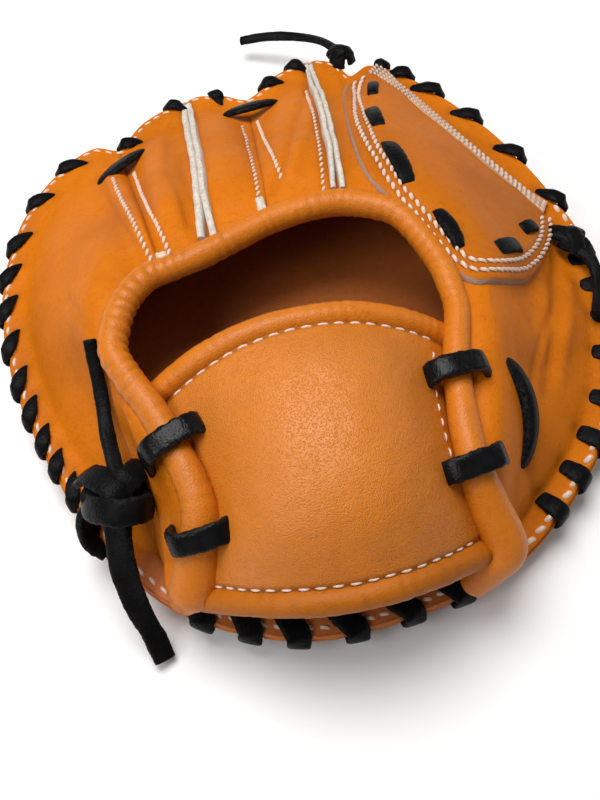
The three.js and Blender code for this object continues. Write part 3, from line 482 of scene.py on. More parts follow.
def ripple(p, size, seed):
    """Soft random swelling between -1 and 1, with waves about size long."""
    draw = np.random.default_rng(seed)
    total = np.zeros(p.shape[:-1])
    for _ in range(7):
        way = unit(draw.normal(size=3)) * 2 * math.pi / (size * draw.uniform(0.7, 1.5))
        total += np.sin(p @ way + draw.uniform(0, 2 * math.pi))
    return total / 3.5


rim_curve = curve([s[0] for s in SECTIONS], closed=True)
edge_curve = curve([s[1] for s in SECTIONS[: LAST + 1]])
LOBES = np.array([s[2] for s in SECTIONS[: LAST + 1]])


def rim(u):
    """Point of the rim at section u."""
    u = np.asarray(u, float)
    p = rim_curve(u)
    out = unit((p - PALM_CENTRE) * (1, 1, 0))
    for at, deep, reach in NOTCHES:
        p = p - out * (deep * smooth(1 - np.abs(u - at) / reach))[..., None]
    return p


def rim_frame(u):
    """Rim point, direction along the rim and direction outward."""
    u = np.asarray(u, float)
    along = unit((rim(u + 0.04) - rim(u - 0.04)) * (1, 1, 0))
    out = np.stack([-along[..., 1], along[..., 0], 0 * along[..., 0]], -1)
    return rim(u), along, out


def edge(u):
    """Centre of the rolled edge at section u."""
    return edge_curve(np.clip(u, 0, LAST))


def inward(u):
    """Distance from rim to rolled edge, square to the rim."""
    along = rim_curve(u + 0.04) - rim_curve(np.maximum(u - 0.04, 0))
    gap = edge(u) - rim(u)
    across = (gap[..., 0] * along[..., 1] - gap[..., 1] * along[..., 0]) / np.linalg.norm(along, axis=-1)
    return np.maximum(across, 1)


def back(u, t):
    """Outer face of the back at section u and share t of the way from the rim to the rolled edge."""
    u, t = np.broadcast_arrays(np.asarray(u, float), np.asarray(t, float))
    low, high = rim(u), edge(u)
    lobe = np.interp(u, np.arange(LAST + 1), LOBES)
    flat = np.minimum(FLANGE_WIDTH / inward(u), FLANGE_SHARE)
    s = (t - flat) / (1 - flat)
    s = np.clip((s + np.sqrt(s * s + VALLEY * VALLEY)) / 2, 0, 1)
    shoulder = SHOULDER_SLOPE * s
    for height, start, length in SHOULDER_STEPS:
        shoulder = shoulder + height * smooth((s - start) / length)
    climb = np.sin(np.pi / 2 * s) * (1 - lobe) + shoulder * lobe
    rise = np.zeros(u.shape)
    for at, reach, height, start, end in FOLDS:
        along = np.clip((t - start) / (end - start), 0, 1)
        rise += height * smooth(1 - np.abs(u - at) / reach) * np.sin(np.pi * along) ** 0.7
    p = low + (high - low) * t[..., None]
    base = low[..., 2] + RIM_TOP
    p[..., 2] = base + (high[..., 2] - base + EDGE_LIFT) * climb + rise
    return p


def change(face, one, two, step, last):
    """How far a face moves when its first place goes a step to either side, between 0 and last."""
    return face(np.minimum(one + step, last), two) - face(np.maximum(one - step, 0), two)


def outward(face, one, two, step, last):
    """Upward directions square to a face of two places. The second place runs from 0 to 1."""
    along = change(face, one, two, step, last)
    up = change(lambda b, a: face(a, b), two, one, 0.02, 1)
    n = unit(np.cross(along, up))
    return np.where(n[..., 2:] < 0, -n, n)


def back_normal(u, t):
    """Outward direction of the back."""
    u, t = np.broadcast_arrays(np.asarray(u, float), np.asarray(t, float))
    return outward(back, u, t, 0.03, LAST)


def back_line(points, spacing=0.7):
    """Section and share pairs joined by a smooth curve on the back, at an even spacing."""
    pairs = np.array(points, float)
    places = np.linspace(0, len(pairs) - 1, 60 * len(pairs))
    fine = curve(np.column_stack([pairs, np.zeros(len(pairs))]))(places)
    on = back(fine[:, 0], fine[:, 1])
    return even(np.column_stack([on, fine[:, :2]]), spacing)[0][:, 3:]


def near(p, pairs):
    """Distance of each point from a line on the back, for the points that are close to it."""
    line = back(*back_line(pairs, 1.2).T)
    far = np.full(p.shape[:-1], FAR_AWAY)
    low, high = line.min(0) - NEAR_REACH, line.max(0) + NEAR_REACH
    close = ((p > low) & (p < high)).all(-1)
    if close.any():
        q = p[close]
        far[close] = np.sqrt(((q[:, None, :] - line[None]) ** 2).sum(-1).min(1))
    return far


def rim_pace(u):
    """Millimetres of rim to one section."""
    return np.linalg.norm(rim_curve(np.asarray(u) + 0.02) - rim_curve(np.asarray(u) - 0.02), axis=-1) / 0.04


def slant_at(holes, i, slant):
    """How far along the rim a lace slants between a hole and the edge, in sections."""
    step = holes[i + 1] - holes[i] if i + 1 < len(holes) else holes[i] - holes[i - 1]
    return math.copysign(min(abs(step) * SLANT_SHARE, slant / float(rim_pace(holes[i]))), step)


def pull(u):
    """How far the laces draw the rim in at section u."""
    u = np.asarray(u, float)
    total = np.zeros(u.shape)
    for _, _, _, slant, _, _, holes in RIM_LACES:
        for i, hole in enumerate(holes):
            away = (u - hole - slant_at(holes, i, slant)) * rim_pace(u)
            total = np.maximum(total, np.exp(-((away / PULL_REACH) ** 2)))
    return total * LACE_PULL


def relief(u, t, p):
    """Height of the small seams, creases and dimples over the smooth back, and how dark each place is."""
    pace = np.linalg.norm(change(back, u, t, 0.02, LAST), axis=-1) / 0.04
    sunk = np.zeros(u.shape)
    for at, deep, half in SEAMS:
        sunk += deep * np.exp(-(((u - at) * pace / half) ** 2)) * smooth((0.99 - t) / 0.04)
    for _, _, width, _, pairs in BACK_ROWS:
        sunk += 0.55 * np.exp(-((near(p, pairs) / (0.9 * width)) ** 2))
    for _, setback, *_, holes in RIM_LACES:
        for hole in holes:
            point, _, out = rim_frame(hole)
            gap = np.linalg.norm((p - point + out * setback)[..., :2], axis=-1)
            sunk += 0.8 * np.exp(-((gap / 2.6) ** 2)) * (t < 0.5)
    # Painted shade: darker where the seams, stitch grooves and lace holes sink in.
    painted_shade = np.clip(sunk / 3.2, 0, 1)
    swell = 0.35 * ripple(p, 34, 3) + 0.14 * ripple(p, 13, 4)
    for deep, half, pairs in CREASES:
        mark = np.exp(-((near(p, pairs) / half) ** 2))
        swell -= deep * mark
        # Painted shade in the creases that sink into the back.
        painted_shade = np.maximum(painted_shade, 0.14 * max(deep, 0) * mark)
    rows = smooth((t - 0.03) / 0.05)
    return swell * rows - sunk, painted_shade


def on_back(u, t, lift=0.0):
    """Points and outward directions on the finished back, lifted off it."""
    u, t = np.asarray(u, float), np.asarray(t, float)
    p, n = back(u, t), back_normal(u, t)
    height, _ = relief(u, t, p)
    return p + n * (height + lift)[..., None], n


strap_crown = curve([row[2] for row in STRAP_ROWS])


def strap(across, down):
    """Middle face of the wrist strap, across from the little side and down from the top edge."""
    across, down = np.broadcast_arrays(np.asarray(across, float), np.asarray(down, float))
    place = np.clip(down, 0, 1) * (len(STRAP_ROWS) - 1)
    ends = []
    for column, sign in ((0, 1), (1, -1)):
        u = np.interp(place, np.arange(len(STRAP_ROWS)), [row[column] for row in STRAP_ROWS])
        ends.append(edge(u) + np.array([sign * STRAP_INSET, 0, -STRAP_TUCK]))
    left, right = ends
    crown = strap_crown(place)
    middle = (left + right) / 2
    bulge = 1 - (2 * across - 1) ** 2
    rise = 1 - np.abs(2 * across - 1) ** STRAP_BULGE
    p = left + (right - left) * across[..., None]
    return p + (crown - middle) * np.stack([bulge, bulge, rise], -1)


def strap_normal(across, down):
    """Outward direction of the wrist strap."""
    return outward(strap, across, down, 0.02, 1)


# ---------------------------------------------------------------- mesh making


class Skin:
    """Points and faces of one piece, gathered in millimetres, with what its finish needs at each point."""

    def __init__(self):
        self.points, self.faces, self.marks, self.count = [], [], [], 0

    def grid(self, rings, around=False, along=False, caps=None, painted_shade=0.0, raw=0.0):
        """Faces over rows of points. caps closes both ends: one face, or a slab between two sides."""
        rings = np.asarray(rings, float)
        rows, columns = rings.shape[:2]
        index = self.count + np.arange(rows * columns).reshape(rows, columns)
        wide = np.vstack([index, index[:1]]) if along else index
        wide = np.hstack([wide, wide[:, :1]]) if around else wide
        quads = np.stack([wide[:-1, :-1], wide[:-1, 1:], wide[1:, 1:], wide[1:, :-1]], -1)
        self.faces.extend(quads.reshape(-1, 4).tolist())
        for row in (index[0], index[-1]) if caps else ():
            if caps == "face":
                self.faces.append(row.tolist())
            else:
                far = columns - 1
                for i in range(columns // 2 - 1):
                    self.faces.append([row[i], row[i + 1], row[far - i - 1], row[far - i]])
        self.points.append(rings.reshape(-1, 3))
        marks = np.stack([np.broadcast_to(painted_shade, (rows, columns)), np.broadcast_to(raw, (rows, columns))], -1)
        self.marks.append(marks.reshape(-1, 2))
        self.count += rows * columns

    def make(self, name, look, nodes=(), merge=False):
        """The finished object, in metres, on the glove's own body."""
        mesh = bpy.data.meshes.new(name)
        points = np.vstack(self.points) * MM
        mesh.from_pydata(points.tolist(), [], [[int(i) for i in face] for face in self.faces])
        marks = np.vstack(self.marks)
        # The first point value is painted shade for the finishes; the second marks the cut edge's own paler
        # colour.
        for column, key in enumerate(("painted_shade", "raw")):
            values = mesh.attributes.new(key, "FLOAT", "POINT").data
            values.foreach_set("value", marks[:, column].astype(np.float32))
        shape = bmesh.new()
        shape.from_mesh(mesh)
        if merge:
            bmesh.ops.remove_doubles(shape, verts=shape.verts, dist=0.02 * MM)
        bmesh.ops.recalc_face_normals(shape, faces=shape.faces)
        shape.to_mesh(mesh)
        shape.free()
        mesh.shade_smooth()
        mesh.set_sharp_from_angle(angle=math.radians(SHARP_ANGLE))
        made = bpy.data.objects.new(name, mesh)
        bpy.context.scene.collection.objects.link(made)
        mesh.materials.append(finish(look))
        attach(made, "root")
        if nodes:
            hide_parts(*nodes)
        return made


def travel(path, closed=False):
    """Direction of travel at each point of a path."""
    if closed:
        return unit(np.roll(path, -1, 0) - np.roll(path, 1, 0))
    return unit(np.gradient(path, axis=0))


def strip(skin, path, across, width, wall, closed=False, square=3.2, sides=16, fray=0.0, seed=1):
    """Flat lace with rounded corners along a path, with cut ends unless it is closed."""
    n = len(path)
    width, wall = np.broadcast_to(width, n).astype(float), np.broadcast_to(wall, n).astype(float)
    along = travel(path, closed)
    wide = unit(across - along * (across * along).sum(-1, keepdims=True))
    thick = np.cross(along, wide)
    angle = (np.arange(sides) + 0.5) / sides * 2 * math.pi
    c, s = np.cos(angle), np.sin(angle)
    c, s = np.sign(c) * np.abs(c) ** (2 / square), np.sign(s) * np.abs(s) ** (2 / square)
    rings = (
        path[:, None]
        + wide[:, None] * (width / 2)[:, None, None] * c[:, None]
        + thick[:, None] * (wall / 2)[:, None, None] * s[:, None]
    )
    rough = ripple(rings, 2.4, seed) + 0.7 * ripple(rings, 1.1, seed + 9)
    shake = (0.018 + fray * np.abs(c) ** 6) * rough
    rings = rings + (rings - path[:, None]) * shake[..., None]
    wear_and_painted_shade = np.abs(c)[None, :] ** 8 * np.ones((n, 1))
    if not closed:
        first = path[0] + (rings[0] - path[0]) * 0.8 - along[0] * 0.25
        last = path[-1] + (rings[-1] - path[-1]) * 0.8 + along[-1] * 0.25
        rings = np.concatenate([first[None], rings, last[None]])
        wear_and_painted_shade = np.vstack([np.ones(sides), wear_and_painted_shade, np.ones(sides)])
    skin.grid(rings, around=True, along=closed, caps=None if closed else "face", raw=wear_and_painted_shade)


def stitches(skin, line, normals, pitch, length, width, slant=0.0, sink=0.25, seed=5):
    """Row of thread stitches on a line of surface points, each one a short bead that dips at its ends."""
    both, total = even(np.column_stack([line, normals]), 0.25)
    draw = np.random.default_rng(seed)
    beads = max(int(total / pitch), 1)
    shares = np.linspace(0, 1, 7)
    angle = np.arange(6) / 6 * 2 * math.pi
    swell = np.sqrt(np.clip(1 - (2 * shares - 1) ** 4, 0, 1)) * 0.82 + 0.16
    for k in range(beads):
        start = (k + 0.5) * total / beads - length / 2 + draw.uniform(-0.12, 0.12)
        at = np.clip((start + shares * length) / total, 0, 1) * (len(both) - 1)
        low = np.minimum(at.astype(int), len(both) - 2)
        mixed = both[low] + (both[low + 1] - both[low]) * (at - low)[:, None]
        p, n = mixed[:, :3], unit(mixed[:, 3:])
        along = unit(np.gradient(p, axis=0) + 1e-9)
        side = unit(np.cross(along, n))
        lift = width * (0.42 * np.sin(math.pi * shares) ** 0.8 - sink)
        aside = (shares - 0.5) * slant * 2 * width + draw.uniform(-0.06, 0.06)
        p = p + n * lift[:, None] + side * aside[:, None]
        r = swell * width / 2 * draw.uniform(0.92, 1.06)
        rings = p[:, None] + r[:, None, None] * (
            side[:, None] * np.cos(angle)[:, None] + n[:, None] * 0.85 * np.sin(angle)[:, None]
        )
        # Painted shade at each end of a stitch, where it dips into the leather.
        skin.grid(rings, around=True, caps="face", painted_shade=(1 - np.sin(math.pi * shares) ** 0.5)[:, None])


def tube(skin, path, radii, sides, gathers):
    """Round roll along a path, with gathers across it, closed at both ends."""
    along = travel(path)
    side = unit(np.cross(along[0], UP))
    frames = []
    for way in along:
        side = unit(side - way * side.dot(way))
        frames.append((side, np.cross(side, way)))
    side, up = np.array([f[0] for f in frames]), np.array([f[1] for f in frames])
    angle = np.arange(sides) / sides * 2 * math.pi
    ring = side[:, None] * np.cos(angle)[:, None] + up[:, None] * np.sin(angle)[:, None]
    rings = path[:, None] + ring * radii[:, None, None]
    run = np.concatenate([[0], np.cumsum(np.linalg.norm(np.diff(path, axis=0), axis=1))])
    bend = ripple(rings, 18, 31) * 1.8
    wave = np.sin(run[:, None] / 0.66 + bend + 1.2 * np.sin(run[:, None] / 5.3))
    wave = wave * np.clip(ripple(rings, 13, 32) + 0.45, 0, 1)
    soft = 0.12 * ripple(rings, 14, 33)
    rings = rings + ring * (gathers[:, None] * wave + soft)[..., None]
    # Painted shade in the valleys of the gathers.
    painted_shade = np.clip(-wave * gathers[:, None] * 1.2, 0, 1)
    ends = []
    for i, sign in ((0, -1), (-1, 1)):
        cap = []
        for q in (0.5, 0.85, 0.985):
            reach = sign * along[i] * radii[i] * 0.7 * q
            cap.append(path[i] + (rings[i] - path[i]) * math.sqrt(1 - q * q) + reach)
        ends.append(np.array(cap[::sign]))
    rings = np.concatenate([ends[0], rings, ends[1]])
    painted_shade = np.concatenate([np.zeros((3, sides)), painted_shade, np.zeros((3, sides))])
    skin.grid(rings, around=True, caps="face", painted_shade=painted_shade)


# ---------------------------------------------------------------- finishes


class Wire:
    """A shader socket that takes part in Python arithmetic."""

    def __init__(self, finish, socket):
        self.finish, self.socket = finish, socket

    def math(self, operation, first, second):
        return self.finish.node("ShaderNodeMath", {"operation": operation}, {0: first, 1: second})

    def __add__(self, other):
        return self.math("ADD", self, other)

    __radd__ = __add__

    def __sub__(self, other):
        return self.math("SUBTRACT", self, other)

    def __rsub__(self, other):
        return self.math("SUBTRACT", other, self)

    def __mul__(self, other):
        return self.math("MULTIPLY", self, other)

    __rmul__ = __mul__

    def rise(self, low, high):
        """0 below low, 1 above high, eased between."""
        sockets = {"Value": self, "From Min": low, "From Max": high}
        return self.finish.node("ShaderNodeMapRange", {"interpolation_type": "SMOOTHSTEP"}, sockets)


class Finish:
    """One material: a Principled shader and the nodes that feed it."""

    def __init__(self, name, **constants):
        self.material = bpy.data.materials.new(name)
        self.material.use_nodes = True
        self.tree = self.material.node_tree
        self.shader = self.tree.nodes["Principled BSDF"]
        for key, value in constants.items():
            self.shader.inputs[key.replace("_", " ")].default_value = value
        self.place = self.node("ShaderNodeTexCoord", output="Object")

    def node(self, kind, settings=None, sockets=None, output=0):
        """Adds a node: its settings first, then the values or links of its sockets. Returns one output."""
        made = self.tree.nodes.new(kind)
        for key, value in (settings or {}).items():
            setattr(made, key, value)
        for key, value in (sockets or {}).items():
            if isinstance(value, Wire):
                self.tree.links.new(value.socket, made.inputs[key])
            else:
                made.inputs[key].default_value = value
        return Wire(self, made.outputs[output])

    def feed(self, key, value):
        self.tree.links.new(value.socket, self.shader.inputs[key])

    def stretched(self, x, y, z):
        return self.node("ShaderNodeVectorMath", {"operation": "MULTIPLY"}, {0: self.place, 1: (x, y, z)})

    def noise(self, scale, detail=3.0, warp=0.0, place=None):
        sockets = {"Vector": place or self.place, "Scale": scale, "Detail": detail, "Distortion": warp}
        return self.node("ShaderNodeTexNoise", sockets=sockets)

    def cells(self, scale):
        return self.node("ShaderNodeTexVoronoi", sockets={"Vector": self.place, "Scale": scale})

    def mark(self, key):
        return self.node("ShaderNodeAttribute", {"attribute_name": key}, output="Fac")

    def blend(self, share, first, second):
        return self.node("ShaderNodeMix", {"data_type": "RGBA"}, {0: share, 6: first, 7: second}, output=2)

    def bump(self, height, strength, distance):
        sockets = {"Height": height, "Strength": strength, "Distance": distance}
        self.feed("Normal", self.node("ShaderNodeBump", sockets=sockets))


def tint(colour, amount):
    """A colour made lighter, above 1, or darker."""
    return (*(min(c * amount, 1.0) for c in colour[:3]), 1.0)


def faded(colour, power):
    """A colour made paler by a power below 1."""
    return (*(c**power for c in colour[:3]), 1)


def leather(name, colour, raw, rough=0.48, depth=0.3, mottle=0.3, shine=0.2, fine=1.0):
    """Grained leather: broad mottling, pores, fine creases, darker seams and a paler cut edge."""
    f = Finish(name, Specular_IOR_Level=shine)
    broad = f.noise(26, 3, 0.4)
    patchy = f.noise(95, 4, 0.8)
    fibre = f.noise(520, 3)
    creases = f.noise(420 * fine, 4, 1.0, place=f.stretched(1.0, 1.6, 1.3))
    pores = f.cells(1150 * fine)
    plain = f.blend(broad.rise(0.36, 0.68) * mottle, colour, tint(colour, 0.62))
    plain = f.blend(patchy.rise(0.5, 0.78) * (mottle * 0.8), plain, faded(colour, 0.86))
    plain = f.blend(creases.rise(0.52, 0.7) * 0.2, plain, tint(colour, 0.34))
    spots = f.noise(210, 2).rise(0.69, 0.77)
    plain = f.blend(spots * 0.22, plain, faded(colour, 0.72))
    # Painted shade: the shade marks darken the colour in seams, grooves and hollows.
    plain = f.blend(f.mark("painted_shade") * 0.82, plain, tint(colour, 0.16))
    cut = f.mark("raw")
    rawness = (cut + (fibre - 0.5) * 0.5 * cut).rise(0.35, 0.75)
    f.feed("Base Color", f.blend(rawness, plain, f.blend(fibre, raw, tint(raw, 0.62))))
    f.feed("Roughness", (rough - 0.04) + patchy * 0.16 - (1 - pores.rise(0.0, 0.3)) * 0.05 + rawness * 0.3)
    height = creases * 0.5 + pores.rise(0.0, 0.55) * 0.5 + fibre * 0.3 + patchy * 0.4
    f.bump(height, depth, 0.0006)
    return f.material


def lace_leather(name, colour, shine, rough, depth):
    """Black lace with a waxy face, fine cracks and worn grey edges."""
    f = Finish(name, Specular_IOR_Level=shine)
    wear_and_painted_shade = f.mark("raw")
    fibre = f.noise(900, 4)
    cracks = f.noise(640, 4, 1.2, place=f.stretched(1.4, 1.0, 1.0))
    pores = f.cells(900)
    plain = f.blend(f.noise(130, 3).rise(0.4, 0.7), colour, tint(colour, 1.9))
    f.feed("Base Color", f.blend(wear_and_painted_shade * fibre.rise(0.42, 0.72) * 0.55, plain, WORN_GREY))
    f.feed("Roughness", rough + f.noise(300, 3) * 0.22 + wear_and_painted_shade * 0.22)
    f.bump(cracks * 0.7 + pores.rise(0, 0.5) * 0.35 + fibre * 0.3, depth, 0.0005)
    return f.material


def pale_leather(name, colour, edge_and_shade_colour):
    """Off-white welt leather with fuzzy, browner cut edges."""
    f = Finish(name, Specular_IOR_Level=0.25, Roughness=0.8)
    fibre = f.noise(700, 4, 0.6)
    streak = f.noise(260, 4, 0.5, place=f.stretched(2.2, 1.0, 1.0))
    plain = f.blend(streak.rise(0.4, 0.7) * 0.5, colour, tint(colour, 0.72))
    # Painted shade in the edge colour, darkest at each ply's foot.
    plain = f.blend(f.mark("painted_shade") * 0.8, plain, edge_and_shade_colour)
    f.feed("Base Color", f.blend(f.mark("raw") * fibre.rise(0.4, 0.65) * 0.5, plain, edge_and_shade_colour))
    f.bump(fibre * 0.6 + streak * 0.5, 0.5, 0.0005)
    return f.material


def thread(name, colour):
    """Waxed thread, darker where it goes into the leather, with fine twisted strands."""
    f = Finish(name, Specular_IOR_Level=0.4, Roughness=0.55)
    strands = f.noise(1500, 2, 1.0, place=f.stretched(1.0, 0.5, 1.0))
    plain = f.blend(strands.rise(0.4, 0.7) * 0.3, colour, tint(colour, 0.6))
    # Painted shade at the stitch ends.
    f.feed("Base Color", f.blend(f.mark("painted_shade") * 0.75, plain, THREAD_SHADE))
    f.bump(strands, 0.4, 0.0003)
    return f.material


def floor_finish(colour):
    """Plain pale floor with the faintest unevenness."""
    f = Finish("pale_floor", Specular_IOR_Level=0.2)
    cloud = f.noise(9, 3)
    f.feed("Base Color", f.blend(cloud * 0.12, colour, tint(colour, 0.95)))
    f.feed("Roughness", 0.7 + cloud * 0.15)
    return f.material


finishes = {}


def finish(name):
    """The glove's finishes, each made when it is first asked for."""
    if name not in finishes:
        c = bpy.context.scene.glove_colours
        raw = (*c.raw_edge, 1)
        tan, binding, lining = (*c.leather, 1), (*c.binding, 1), (*c.lining, 1)
        recipes = {
            "tan": lambda: leather("tan_grained_leather", tan, raw, mottle=0.4, shine=0.08),
            "patch": lambda: leather("web_leather", tint(tan, 0.86), raw, mottle=0.45, shine=0.1),
            "strap": lambda: leather(
                "strap_leather", (*c.strap, 1), raw, rough=0.4, depth=0.6, mottle=0.2, shine=0.5, fine=1.6
            ),
            "binding": lambda: leather(
                "rolled_edge_leather", binding, raw, rough=0.38, mottle=0.25, shine=0.32
            ),
            # The strap's bottom roll: the binding colour darkened as painted shade, for its side that faces
            # away from the light.
            "wear_and_painted_shade": lambda: leather("painted_shade_roll_leather", tint(binding, 0.72), raw, mottle=0.25, shine=0.2),
            "lining": lambda: leather("lining_leather", lining, raw, rough=0.6, depth=0.2, shine=0.3),
            "lace": lambda: lace_leather("black_lace_leather", (*c.lace, 1), 0.055, 0.26, 0.5),
            "glossy": lambda: lace_leather("waxed_lace_leather", (*c.lace, 1), 0.13, 0.1, 0.3),
            "pale": lambda: pale_leather("off_white_leather", (*c.pale, 1), PALE_EDGE_AND_SHADE),
            "band": lambda: pale_leather("buff_leather", BUFF, BUFF_EDGE_AND_SHADE),
            "thread": lambda: thread("waxed_thread", (*c.thread, 1)),
            "rubbed": lambda: thread("rubbed_thread", tint(c.thread, 0.84)),
        }
        finishes[name] = recipes[name]()
    return finishes[name]


# ---------------------------------------------------------------- pieces


def sweep_tail(name, width, wall, points):
    """One free lace end, flat and a little twisted, with a rough cut."""
    path = through(points, 0.7)
    total = len(path) - 1
    share = np.arange(total + 1) / total
    along = travel(path)
    across = unit(np.cross(along, UP))
    lean = 0.35 * np.sin(share * 5.0 + 0.6)
    across = unit(across + np.cross(along, across) * lean[:, None])
    wide = width * (1 - 0.2 * smooth(share)) * (1 + 0.03 * np.sin(share * 23))
    skin = Skin()
    strip(skin, path, across, wide, wall, fray=0.012, seed=len(name))
    made = skin.make(name + "_end", "lace", (name,))
    [x * MM for x in points[0]]
    width * MM


def build_tails():
    """Free ends of the laces."""
    for name, (width, wall, points) in TAILS.items():
        sweep_tail(name, width, wall, points)


def build_knots():
    """Knots of folded flat lace."""
    for name, turns in KNOTS.items():
        skin = Skin()
        centre = np.mean([p for turn in turns for p in turn[2:]], axis=0)
        for i, (width, wall, *points) in enumerate(turns):
            path = through(points, 0.7)
            along = travel(path)
            face = unit(path - centre + UP * 3)
            strip(skin, path, np.cross(along, face), width, wall, fray=0.04, seed=40 + i)
        skin.make(name + "_turns", "lace", (name,))


def palm_rows(share_steps, upper):
    """Shares and heights of one face of the palm, and how much of the height rides on the rim."""
    rows = []
    for i, (share, low, high) in enumerate(PALM_PROFILE):
        rows.append((share * 100, (high if upper else low) + (RIM_HEIGHT if i < 2 else 0), 0.0))
    places = np.linspace(0, len(rows) - 1, share_steps)
    shape = curve(rows)(places)
    rides = np.interp(places, [0, 1, 2], [1, 1, 0])
    return np.clip(shape[:, 0] / 100, 0, 1), shape[:, 1] - RIM_HEIGHT, rides


def palm_face(u, upper, lift=0.0, steps=76, first=0.0):
    """One face of the palm dish as rows of points from the rim to the centre."""
    share, height, rides = palm_rows(steps, upper)
    keep = share >= first
    share, height, rides = share[keep], height[keep], rides[keep]
    smooth_rim = rim_curve(u)[:, None]
    outer = np.where((share < 0.1)[None, :, None], rim(u)[:, None], smooth_rim)
    p = outer + (PALM_CENTRE - outer) * share[None, :, None]
    p[..., 2] = height + RIM_HEIGHT + (rim_curve(u)[:, 2] - RIM_HEIGHT)[:, None] * rides[None] + lift
    return p, share


def rolled_rim(outer, inner, out, arc, reach):
    """Rounded cut edge between the first points of an outer and an inner face. arc is in degrees."""
    turn = np.array(arc)[None, :, None] * math.pi / 180
    middle, half = (outer[:, :1] + inner[:, :1]) / 2, (outer[:, :1] - inner[:, :1]) / 2
    return middle + half * np.sin(turn) + out[:, None] * reach * np.cos(turn)


def build_palm():
    """Padded palm that the glove rests on."""
    u = np.linspace(0, COUNT, 421)[:-1]
    low, share = palm_face(u, False)
    high, _ = palm_face(u, True)
    _, _, out = rim_frame(u)
    drawn = pull(u)[:, None] * (1 - smooth(share / 0.06))[None]
    dish = (share > 0.1).astype(float)[None]
    swell = (0.5 * ripple(low, 30, 11) + 0.25 * ripple(low, 9, 12)) * dish * smooth(low[..., 2] / 3)
    low = low - out[:, None] * drawn[..., None]
    high = high - out[:, None] * drawn[..., None]
    side = smooth((share - 0.09) / 0.05) * smooth((0.24 - share) / 0.05)
    low = low + out[:, None] * (side[None] * (1.2 + swell))[..., None]
    low[..., 2] = np.maximum(low[..., 2], 0.0)
    bead = rolled_rim(high, low, out, (-67.5, -36, 0, 36, 67.5), 0.9)
    rings = np.concatenate([low[:, ::-1], bead, high], axis=1)
    raw = np.concatenate([0 * share, [0.25, 0.45, 0.5, 0.45, 0.25], 0 * share])
    # Painted shade on the underside just inside the rim.
    painted_shade_under_rim = smooth((share - 0.1) / 0.03) * smooth((0.2 - share) / 0.04) * 0.2
    painted_shade = np.concatenate([painted_shade_under_rim[::-1], np.zeros(5), 0 * share])
    skin = Skin()
    skin.grid(rings, along=True, painted_shade=painted_shade[None], raw=raw[None])
    palm = skin.make("palm", "tan", ("palm_shell",), merge=True)


def build_lining():
    """Lining of the palm and the facing at the heel."""
    skin = Skin()
    top, share = palm_face(np.linspace(0, COUNT, 421)[:-1:2], True, lift=1.3, steps=70, first=0.1)
    top[..., 2] += 0.35 * ripple(top, 28, 21) * smooth((share - 0.12) / 0.1)[None]
    under = top - UP
    skin.grid(np.concatenate([top, under[:, ::-1]], axis=1), around=True, along=True)
    skin.make("palm_lining_leather", "lining", ("palm_lining",), merge=True)

    skin = Skin()
    u = np.linspace(LAST + 0.01, COUNT, 150)
    edge_line, _, out = rim_frame(u)
    drawn = pull(u)[:, None, None]
    share = np.linspace(0, 0.115, 14)[None, :, None]
    top = edge_line[:, None] + (PALM_CENTRE - edge_line[:, None]) * share
    top[..., 2] = edge_line[:, None, 2] + RIM_TOP - 2.2 * smooth((share[..., 0] - 0.085) / 0.03)
    top = top - out[:, None] * drawn * (1 - smooth(share / 0.06))
    top[..., 2] += 0.12 * ripple(top, 9, 23)
    under = top - UP * 2.3
    bead = rolled_rim(top, under, out, np.linspace(-80, 80, 7), 0.9)
    rings = np.concatenate([top[:, ::-1], bead, under], axis=1)
    raw = np.concatenate([np.zeros(14), [0.2, 0.3, 0.3, 0.3, 0.3, 0.3, 0.2], np.zeros(14)])
    skin.grid(rings, around=True, caps="face", raw=raw[None])
    skin.make("heel_facing_leather", "lining", ("heel_facing",))


def build_back():
    """Panels of the back from the rim to the rolled edge."""
    for name, start, end in PANELS:
        u = np.linspace(start + 0.002, end - 0.002, max(int((end - start) / 0.024), 24))[:, None]
        first = 0.9 / inward(u)
        share = np.linspace(0, 1, 112)[None] ** 1.05
        t = first + (0.965 - first) * share
        u = np.broadcast_to(u, t.shape)
        p, n = back(u, t), back_normal(u, t)
        height, painted_shade = relief(u, t, p)
        _, _, out = rim_frame(u[:, 0])
        flange = 1 - smooth(t / np.minimum(FLANGE_WIDTH / inward(u), FLANGE_SHARE) / 0.6)
        drawn = out[:, None] * (pull(u[:, 0])[:, None] * flange)[..., None]
        outer = p + n * height[..., None] - drawn
        inner = p - n * (SHELL_WALL - 0.3 * height[..., None]) - drawn
        bead = rolled_rim(outer, inner, out, np.linspace(80, -80, 7), 1)
        rings = np.concatenate([outer[:, ::-1], bead, inner], axis=1)
        # Painted shade: the relief's shade on the outer face and an even painted shade over the whole inner
        # face.
        shell_painted_shade = np.concatenate([painted_shade[:, ::-1], np.zeros((len(u), 7)), np.full(t.shape, 0.75)], axis=1)
        cut = np.tile([0, 0.1, 0.3, 0.42, 0.45, 0.4, 0.3], (len(u), 1))
        raw = np.concatenate([0 * t, cut, 0 * t], axis=1)
        skin = Skin()
        skin.grid(rings, around=True, caps="face", painted_shade=shell_painted_shade, raw=raw)
        skin.make(name + "_leather", "tan", (name,))


